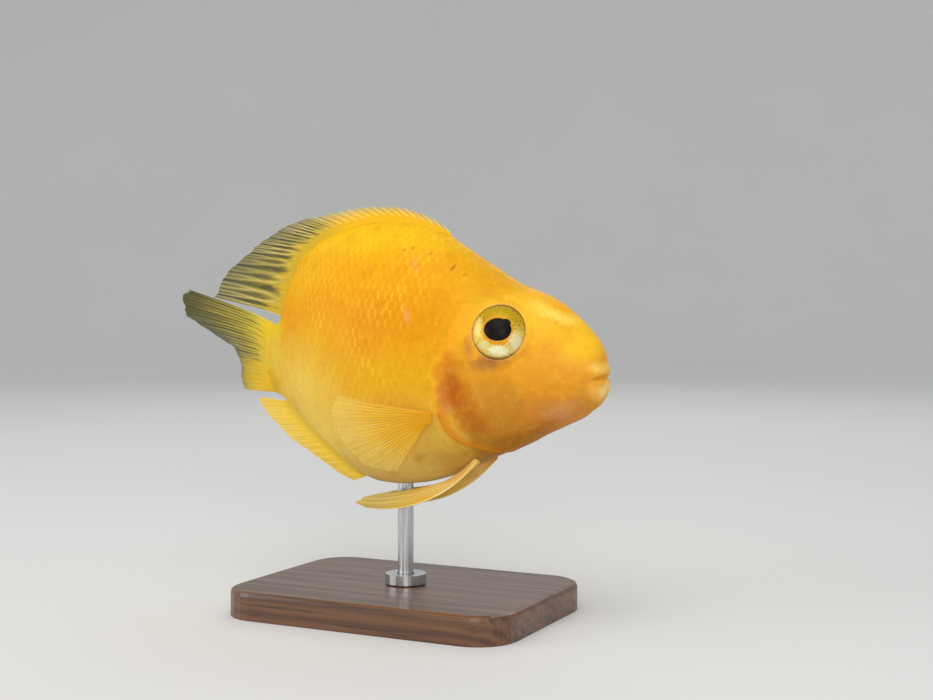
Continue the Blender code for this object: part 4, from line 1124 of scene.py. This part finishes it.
def eye_rim_skin(add):
    # The damp skin round an eye: brown where it meets the eye, partly its own colour, partly painted shade in
    # the join, then the colour of the cheek.
    colour, at = body_colours(add)
    across = add(SPLIT, (add(UV, uv_map="rim_face"),), out=1)
    across = add(MATH, (add(NOISE, (at, None, 900.0, 3.0)), 0.30, across), **PLUS)
    return add(SHADER, {
        "Base Color": tinted(add, colour, (across, 0.80, 0.30, 0.80, "#75481C")), "Roughness": 0.40,
        "Normal": add(BUMP, (0.2, 0.0001, None, add(NOISE, (at, None, 2600.0, 3.0)))),
        "IOR": 1.38, "Coat Weight": 0.2,
    })


def glass_eye_painted_iris(add):
    # A glass eye over a painted iris: brassy flakes in rays round a black-brown pupil, olive and speckled
    # over it, with painted highlights as pale reflections at the bottom and sides, a dark edge that is partly
    # painted shade, and a soft gloss.
    at = add(MAPPING, {  # mm from the eye's axis
        "Vector": add(UV, uv_map="eye_face"), "Location": (-EYE_RADIUS, -EYE_RADIUS, 0.0),
        "Scale": (2 * EYE_RADIUS, 2 * EYE_RADIUS, 1.0),
    })
    up, radial = add(SPLIT, (at,), out=1), add(VECTOR, (at,), **LENGTH)
    fan = add(VECTOR, (add(VECTOR, (at,), operation="NORMALIZE"), (5.0, 5.0, 5.0)), operation="MULTIPLY")
    fan = add(VECTOR, (fan, add(JOIN, {"Z": add(MATH, (radial, 0.55))})))
    streaks, flakes = add(NOISE, (fan, None, 1.6, 4.0, 0.7)), add(NOISE, (at, None, 2.4, 4.0, 0.65))
    outer = add(RANGE, (radial, 3.2, 4.0))
    olive = add(MATH, (add(RANGE, (up, -0.6, 3.0)), outer))
    flecks = add(MATH, (add(RANGE, (flakes, 0.52, 0.62, 0.0, 0.80)), add(RANGE, (up, -1.0, 2.2))))
    colour = tinted(
        add, "#E49A18", (radial, 3.4, 4.2, 1.0, "#E4C458"), (streaks, 0.42, 0.66, 0.70, "#B4881A"),
        (olive, "#C49E0C"), (add(MATH, (flecks, outer)), "#5C4216"),
    )
    ragged = add(RANGE, (flakes, 0.3, 0.7, -0.35, 0.35))
    # painted highlights: pale reflections on the iris's lower part and sides
    colour = spotted(add, colour, at, ragged, IRIS_PAINTED_HIGHLIGHTS, 1.0, 1.1)
    # the pupil, an oval with a nick in its upper front edge
    inside = add(VECTOR, (at, (1 / PUPIL[0], 1 / PUPIL[1], 0.0)), operation="MULTIPLY")
    nick = add(MATH, (add(VECTOR, (at, (1.75, 1.60, 0.0)), operation="DISTANCE", out="Value"), 0.86))
    inside = add(MATH, (add(VECTOR, (inside,), **LENGTH), nick), operation="MINIMUM")
    wavy = add(RANGE, (streaks, 0.3, 0.7, -0.03, 0.03), **EVEN)
    hole = add(RANGE, (add(MATH, (inside, wavy), operation="ADD"), 1.035, 0.985))
    # a dark line round the iris's edge: partly its own dark margin, partly painted shade where it meets the
    # skin
    return add(SHADER, {
        "Base Color": tinted(add, colour, (radial, 6.0, 6.6, 0.85, "#5A4414"), (hole, "#120706")),
        "Metallic": add(RANGE, (hole, 0.0, 1.0, 0.20, 0.0), **EVEN), "Roughness": 0.45,
        "Normal": add(BUMP, (0.25, 0.00008, None, streaks)),
        "Specular IOR Level": 0.12, "Coat Weight": 0.04, "Coat Roughness": 0.12,
    })


def fin_membrane(add, looks, ray_codes, spines, turn, pale_front):
    # Fin membrane: a thin wet-looking skin, see-through towards its edge, with pigment drawn out in
    # streaks along the rays. A second look takes over between the ray numbers of turn, and the
    # foremost rays are paler by the share pale_front.
    face = add(UV, uv_map="fin_face")
    number, along, _ = add(SPLIT, (face,)).node.outputs
    cloud = add(NOISE, (add(MAPPING, {"Vector": face, "Scale": (3.2, 2.4, 1.0)}), None, 1.0, 4.0, 0.6))
    cloud = add(RANGE, (cloud, 0.3, 0.7, -0.12, 0.12))
    further = add(MATH, (along, cloud), operation="ADD")
    half_way, all_way = add(RANGE, (further, 0.08, 0.50)), add(RANGE, (further, 0.45, 0.95))
    made = []
    for root, middle, edge, at_root, at_edge, gap in looks:
        made.append((
            tinted(add, root, (half_way, middle), (all_way, edge)),
            add(RANGE, (further, 0.10, 0.85, at_root, at_edge)), add(RANGE, (further, 0.10, 0.35, 0.0, gap)),
        ))
    colour, fill, gap = made[0]
    if turn:
        share = add(RANGE, (number, *turn))
        colour = tinted(add, colour, (share, made[1][0]))
        fill, gap = [add(MIX, (share, None, *pair), **NUMBERS) for pair in zip(made[0][1:], made[1][1:])]
    # the first few rays carry less pigment
    front = add(MATH, (add(RANGE, (number, 4.5, 0.0, 0.0, pale_front)), half_way))
    fill = add(MIX, (front, None, fill, 0.55), **NUMBERS)
    # a dark line where the membrane is thinnest, midway between two rays
    from_ray = add(MATH, (number, 0.5), operation="PINGPONG")
    thin = add(MATH, (add(RANGE, (from_ray, 0.30, 0.47)), add(RANGE, (cloud, -0.07, 0.05, 0.15, 1.0))))
    colour = tinted(add, colour, (front, looks[0][2]), (add(MATH, (thin, gap)), "#3C3C22"))
    # the rays' own lines, which part in two and again on the way out
    branched = add(MATH, (number, spines - 0.5), operation="GREATER_THAN")
    for low, high, apart in (FORK, TWIG):
        spread = add(MATH, (add(RANGE, (along, low, high, 0.0, apart)), branched))
        from_ray = add(MATH, (from_ray, spread), operation="SUBTRACT")
        from_ray = add(MATH, (from_ray,), operation="ABSOLUTE")
    near = add(RANGE, (from_ray, 0.15, 0.03))
    share = add(MATH, (near, add(RANGE, (along, 0.08, 0.28, 0.0, 0.42))))
    ray = add(MIX, {0: all_way, 6: ray_codes[0], 7: ray_codes[1]})
    fine = add(NOISE, (add(MAPPING, {"Vector": face, "Scale": (9.0, 3.0, 1.0)}), None, 1.6, 3.0))
    colour = tinted(add, colour, (share, ray), (fine, 0.5, 0.75, 0.18, "#6E5A10"))
    bump = add(BUMP, (0.25, 0.0001, None, fine))
    skin = add(SHADER, {
        "Base Color": colour, "Normal": bump, "Roughness": 0.45, "IOR": 1.38, "Specular IOR Level": 0.35,
    })
    glow = add("ShaderNodeBsdfTranslucent", {"Color": colour, "Normal": bump})
    fill = add(MATH, (near, 0.25, fill), use_clamp=True, **PLUS)
    return add(MIX_SHADERS, (fill, add("ShaderNodeBsdfTransparent"), add(MIX_SHADERS, (0.28, skin, glow))))


def fin_ray(add, root, tip, look):
    # Fin ray: a jointed horny rod, semi-gloss, with a joint every 0.7 mm, drawn coarser than real.
    along, reach = [add(VALUE, attribute_name=name) for name in ("along", "along_mm")]
    uneven = add(NOISE, (add(PLACE), None, 700.0, 3.0))
    joint = add(RANGE, (add(MATH, (reach, 0.35), operation="PINGPONG"), 0.0, 0.10))
    return add(SHADER, {
        "Base Color": tinted(
            add, root, (along, 0.15, 0.95, 1.0, tip), (along, 0.28, 0.08, 1.0, look[0]),
            (uneven, 0.35, 0.70, 0.35, look[1]),
            (add(RANGE, (joint, 1.0, 0.0, 0.0, 0.20), **EVEN), "#8A6A10"),
        ),
        "Normal": add(BUMP, (0.4, 0.00006, None, joint)), "Roughness": 0.42, "IOR": 1.45,
    })


def satin_walnut(add):
    # Walnut under satin lacquer: mid brown with long straight grain, growth bands 2 to 4 mm apart
    # that drift a little, and fine dark pores drawn out along the board.
    at = add(PLACE)
    drift = add(NOISE, (add(MAPPING, {"Vector": at, "Scale": (7.0, 90.0, 90.0)}), None, 1.0, 3.0))
    fibres = add(NOISE, (add(MAPPING, {"Vector": at, "Scale": (28.0, 900.0, 900.0)}), None, 1.0, 4.0, 0.7))
    rings = add(VECTOR, (at, (0.0, 300.0, 520.0)), operation="DOT_PRODUCT", out="Value")
    bands = add(MATH, (add(MATH, (drift, 5.0, rings), **PLUS), 1.0), operation="PINGPONG")
    return add(SHADER, {
        "Base Color": tinted(
            add, "#6A4429", (bands, 0.1, 0.95, 1.0, "#47291A"), (drift, 0.35, 0.7, 0.5, "#7B5233"),
            (fibres, 0.50, 0.68, 0.75, "#24140B"),
        ),
        "Roughness": add(RANGE, (fibres, 0.3, 0.7, 0.34, 0.48), **EVEN),
        "Normal": add(BUMP, (0.15, 0.0002, None, fibres)), "Coat Weight": 0.35, "Coat Roughness": 0.18,
    })


def brushed_stainless_steel(add):
    # Stainless steel rod, drawn and brushed lengthwise: cool grey with fine upright lines.
    drawn = add(MAPPING, {"Vector": add(PLACE), "Scale": (2600.0, 2600.0, 70.0)})
    lines = add(NOISE, (drawn, None, 1.0, 3.0, 0.6))
    share = add(RANGE, (lines, 0.3, 0.7), **EVEN)
    return add(SHADER, {
        "Base Color": tinted(add, "#A9ABAD", (share, "#D6D8D9")), "Metallic": 1.0,
        "Roughness": add(RANGE, (lines, 0.3, 0.7, 0.26, 0.40), **EVEN),
        "Normal": add(BUMP, (0.1, 0.00005, None, lines)),
    })


def matt_studio_paper(add):
    # Matt studio paper: nearly white, with a faint unevenness.
    colour = tinted(add, "#DEDDDA", (add(NOISE, (add(PLACE), None, 6.0, 3.0)), "#E4E3E0"))
    return add(SHADER, {"Base Color": colour, "Roughness": 0.9, "Specular IOR Level": 0.1})


# The studio
CAMERA_AZIMUTH, CAMERA_ELEVATION, CAMERA_DISTANCE = 28.0, 2.0, 0.36
FOCAL_PIXELS, IMAGE, AIM_PIXEL = 1430.0, (933.0, 700.0), (421.0, 352.0)
SENSOR = 36.0  # mm
LAMPS_AIM = (0.015, 0.0, FISH_AXIS_HEIGHT)
# azimuth, elevation, distance, size in metres, watts
LAMPS = {
    "lamp_over": (14.0, 60.0, 0.75, 0.60, 2.25), "lamp_front": (30.0, 14.0, 0.85, 0.40, 1.9),
    "lamp_left": (-52.0, 10.0, 0.90, 0.40, 2.0), "lamp_behind": (200.0, 40.0, 0.90, 0.50, 1.1),
}
FLOOR_FLAT, FLOOR_SWEEP, FLOOR_TURNS = (0.3, 0.7, 1.1), 0.7, 96  # metres, metres


def set_up(name, data, aim, azimuth, elevation, distance, turn=None):
    """Sets a camera or a lamp at its distance from a point that it looks at."""
    a, e = math.radians(azimuth), math.radians(elevation)
    away = Vector((math.sin(a) * math.cos(e), -math.cos(a) * math.cos(e), math.sin(e)))
    facing = away.to_track_quat("Z", "Y").to_matrix().to_4x4()
    made = in_scene(name, data)
    made.matrix_world = Matrix.Translation(Vector(aim) + away * distance) @ facing @ (turn or Matrix())
    return made


def build_camera():
    """The camera at the photo's viewing angle and framing, aimed by the fish's middle."""
    data = bpy.data.cameras.new("camera")
    data.sensor_width, data.clip_start = SENSOR, 0.01
    data.lens = FOCAL_PIXELS / IMAGE[0] * SENSOR
    yaw, pitch = [math.atan((IMAGE[k] / 2 - AIM_PIXEL[k]) / FOCAL_PIXELS) for k in (0, 1)]
    turn = Matrix.Rotation(-yaw, 4, "Y") @ Matrix.Rotation(-pitch, 4, "X")
    aim = (SHIFT[0] - 0.5 * STANDARD_LENGTH, SHIFT[1], FISH_AXIS_HEIGHT)
    view = CAMERA_AZIMUTH, CAMERA_ELEVATION, CAMERA_DISTANCE
    bpy.context.scene.camera = set_up("camera", data, aim, *view, turn)


def build_floor():
    """A pale studio floor that sweeps up all round, far outside the model."""
    turn = math.pi / 2 * np.arange(1, 13) / 12
    reach = np.concatenate([FLOOR_FLAT, FLOOR_FLAT[-1] + FLOOR_SWEEP * np.sin(turn)])
    height = np.concatenate([np.zeros(len(FLOOR_FLAT)), FLOOR_SWEEP * (1 - np.cos(turn))])
    theta = np.arange(FLOOR_TURNS) * 2 * math.pi / FLOOR_TURNS
    ring = np.stack([np.cos(theta), np.sin(theta), 0 * theta], -1)
    rings = [ring * r + (0, 0, z) for r, z in zip(reach, height)]
    faces = band_faces(len(rings), FLOOR_TURNS, wrap=True, start=1).tolist()
    faces += [[0, 1 + j, 1 + (j + 1) % FLOOR_TURNS] for j in range(FLOOR_TURNS)]
    mesh = make_mesh("studio_floor", np.concatenate([np.zeros((1, 3)), *rings]), faces)
    mesh.materials.append(material(matt_studio_paper))
    in_scene("studio_floor", mesh)


def build_studio():
    build_camera()
    build_floor()
    for name, (azimuth, elevation, distance, size, watts) in LAMPS.items():
        data = bpy.data.lights.new(name, "AREA")
        data.size, data.energy = size, watts
        set_up(name, data, LAMPS_AIM, azimuth, elevation, distance)
    world = bpy.data.worlds.new("studio")
    bpy.context.scene.world = world
    world.use_nodes = True
    glow = world.node_tree.nodes["Background"]
    glow.inputs["Color"].default_value = linear("#EEF1F4")
    glow.inputs["Strength"].default_value = 0.62
    bpy.context.scene.view_settings.view_transform = "Standard"


# Putting it together
def at_ends(q):
    """1 along a fin's root, closing to 0 at both its ends."""
    return np.sqrt(np.clip(np.minimum(q, 1 - q) / 0.05, 0.0, 1.0))


def on_back(q):
    return root_half(back_z, foot_u(DORSAL_FOOT, q), 1) * at_ends(q)


def on_belly(q):
    return root_half(belly_z, foot_u(ANAL_FOOT, q), -1) * at_ends(q)


def stem_end(q):
    return 3.05 * np.sqrt(np.clip(1 - (2 * q - 1) ** 2, 0, 1)) + 0.1


# Each kind of fin: rays, spines, length, notches, root (half thickness, start in mm, reach, power),
# rows, a ray's half thickness in mm, the first ray's share of that
FINS = {
    "dorsal": (DORSAL_SPINES + DORSAL_SOFT, DORSAL_SPINES, DORSAL_LENGTH, 0.065,
               (on_back, -FIN_SUNK, 0.42, 3.0), 44, 0.14, 1.4),
    "anal": (ANAL_SPINES + ANAL_SOFT, ANAL_SPINES, ANAL_LENGTH, 0.030,
             (on_belly, -FIN_SUNK, 0.38, 3.0), 36, 0.11, 1.4),
    "tail": (CAUDAL_RAYS, 0, CAUDAL_LENGTH, 0.0, (stem_end, 0.0, 0.32, 1.4), 60, 0.15, 1.0),
    "pectoral": (PECTORAL_RAYS, 0, PECTORAL_LENGTH, 0.0,
                 (lambda q: 1.05 * at_ends(q), -FIN_SUNK, 0.24, 1.6), 44, 0.075, 1.0),
    "pelvic": (PELVIC_RAYS, 1, PELVIC_LENGTH, 0.0,
               (lambda q: 0.85 * at_ends(q), -FIN_SUNK, 0.20, 1.4), 44, 0.16, 2.4),
}


def build_fins():
    tree = ray_tree()
    points = {"dorsal": dorsal_point, "anal": anal_point, "tail": tail_point}
    for side, word in SIDES.items():
        points["pectoral_" + word], points["pelvic_" + word] = pectoral_point(side), pelvic_point(side)
    finishes = {}
    for label, point in points.items():
        kind, *side = label.split("_")
        count, spines, length, notches, swell, rows, thick, lead = FINS[kind]
        looks, turn, root, tip, pale_front = FIN_LOOKS[kind]
        if kind not in finishes:
            given = looks, (root, tip), spines, turn, pale_front
            finishes[kind] = (material(fin_membrane, *given, of=kind + "_"),
                              material(fin_ray, root, tip, looks[0], of=kind + "_"))
        mesh = membrane_mesh(label, point, count, length, spines, notches, swell, rows)
        finish_piece(label + "_membrane", mesh, finishes[kind][0], ("_".join([kind, "fin", *side]),))
        lines = ray_lines(point, count, length, spines, thick, lead)
        build_rays(label + "_rays", lines, finishes[kind][1], tree)


def build_fish():
    build_skin(material(satin_fish_skin))
    scale = material(silky_fish_scale)
    for side in SIDES:
        build_scales(side, scale)
    smooth, u, _, _ = skin_points(eyes=False)
    faces = band_faces(len(u), SKIN_COLUMNS, wrap=True)
    closed = BVHTree.FromPolygons(smooth.reshape(-1, 3).tolist(), faces.tolist())
    eye, rim = material(glass_eye_painted_iris), material(eye_rim_skin)
    for side in SIDES:
        build_eye(side, eye)
        build_eye_rim(side, closed, rim)
    build_fins()


def dress_stand():
    steel = material(brushed_stainless_steel)
    for name, made in (("stand_base", material(satin_walnut)), ("stand_rod", steel), ("stand_collar", steel)):
        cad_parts[name].material_slots[0].material = made


build_studio()
build_fish()
dress_stand()
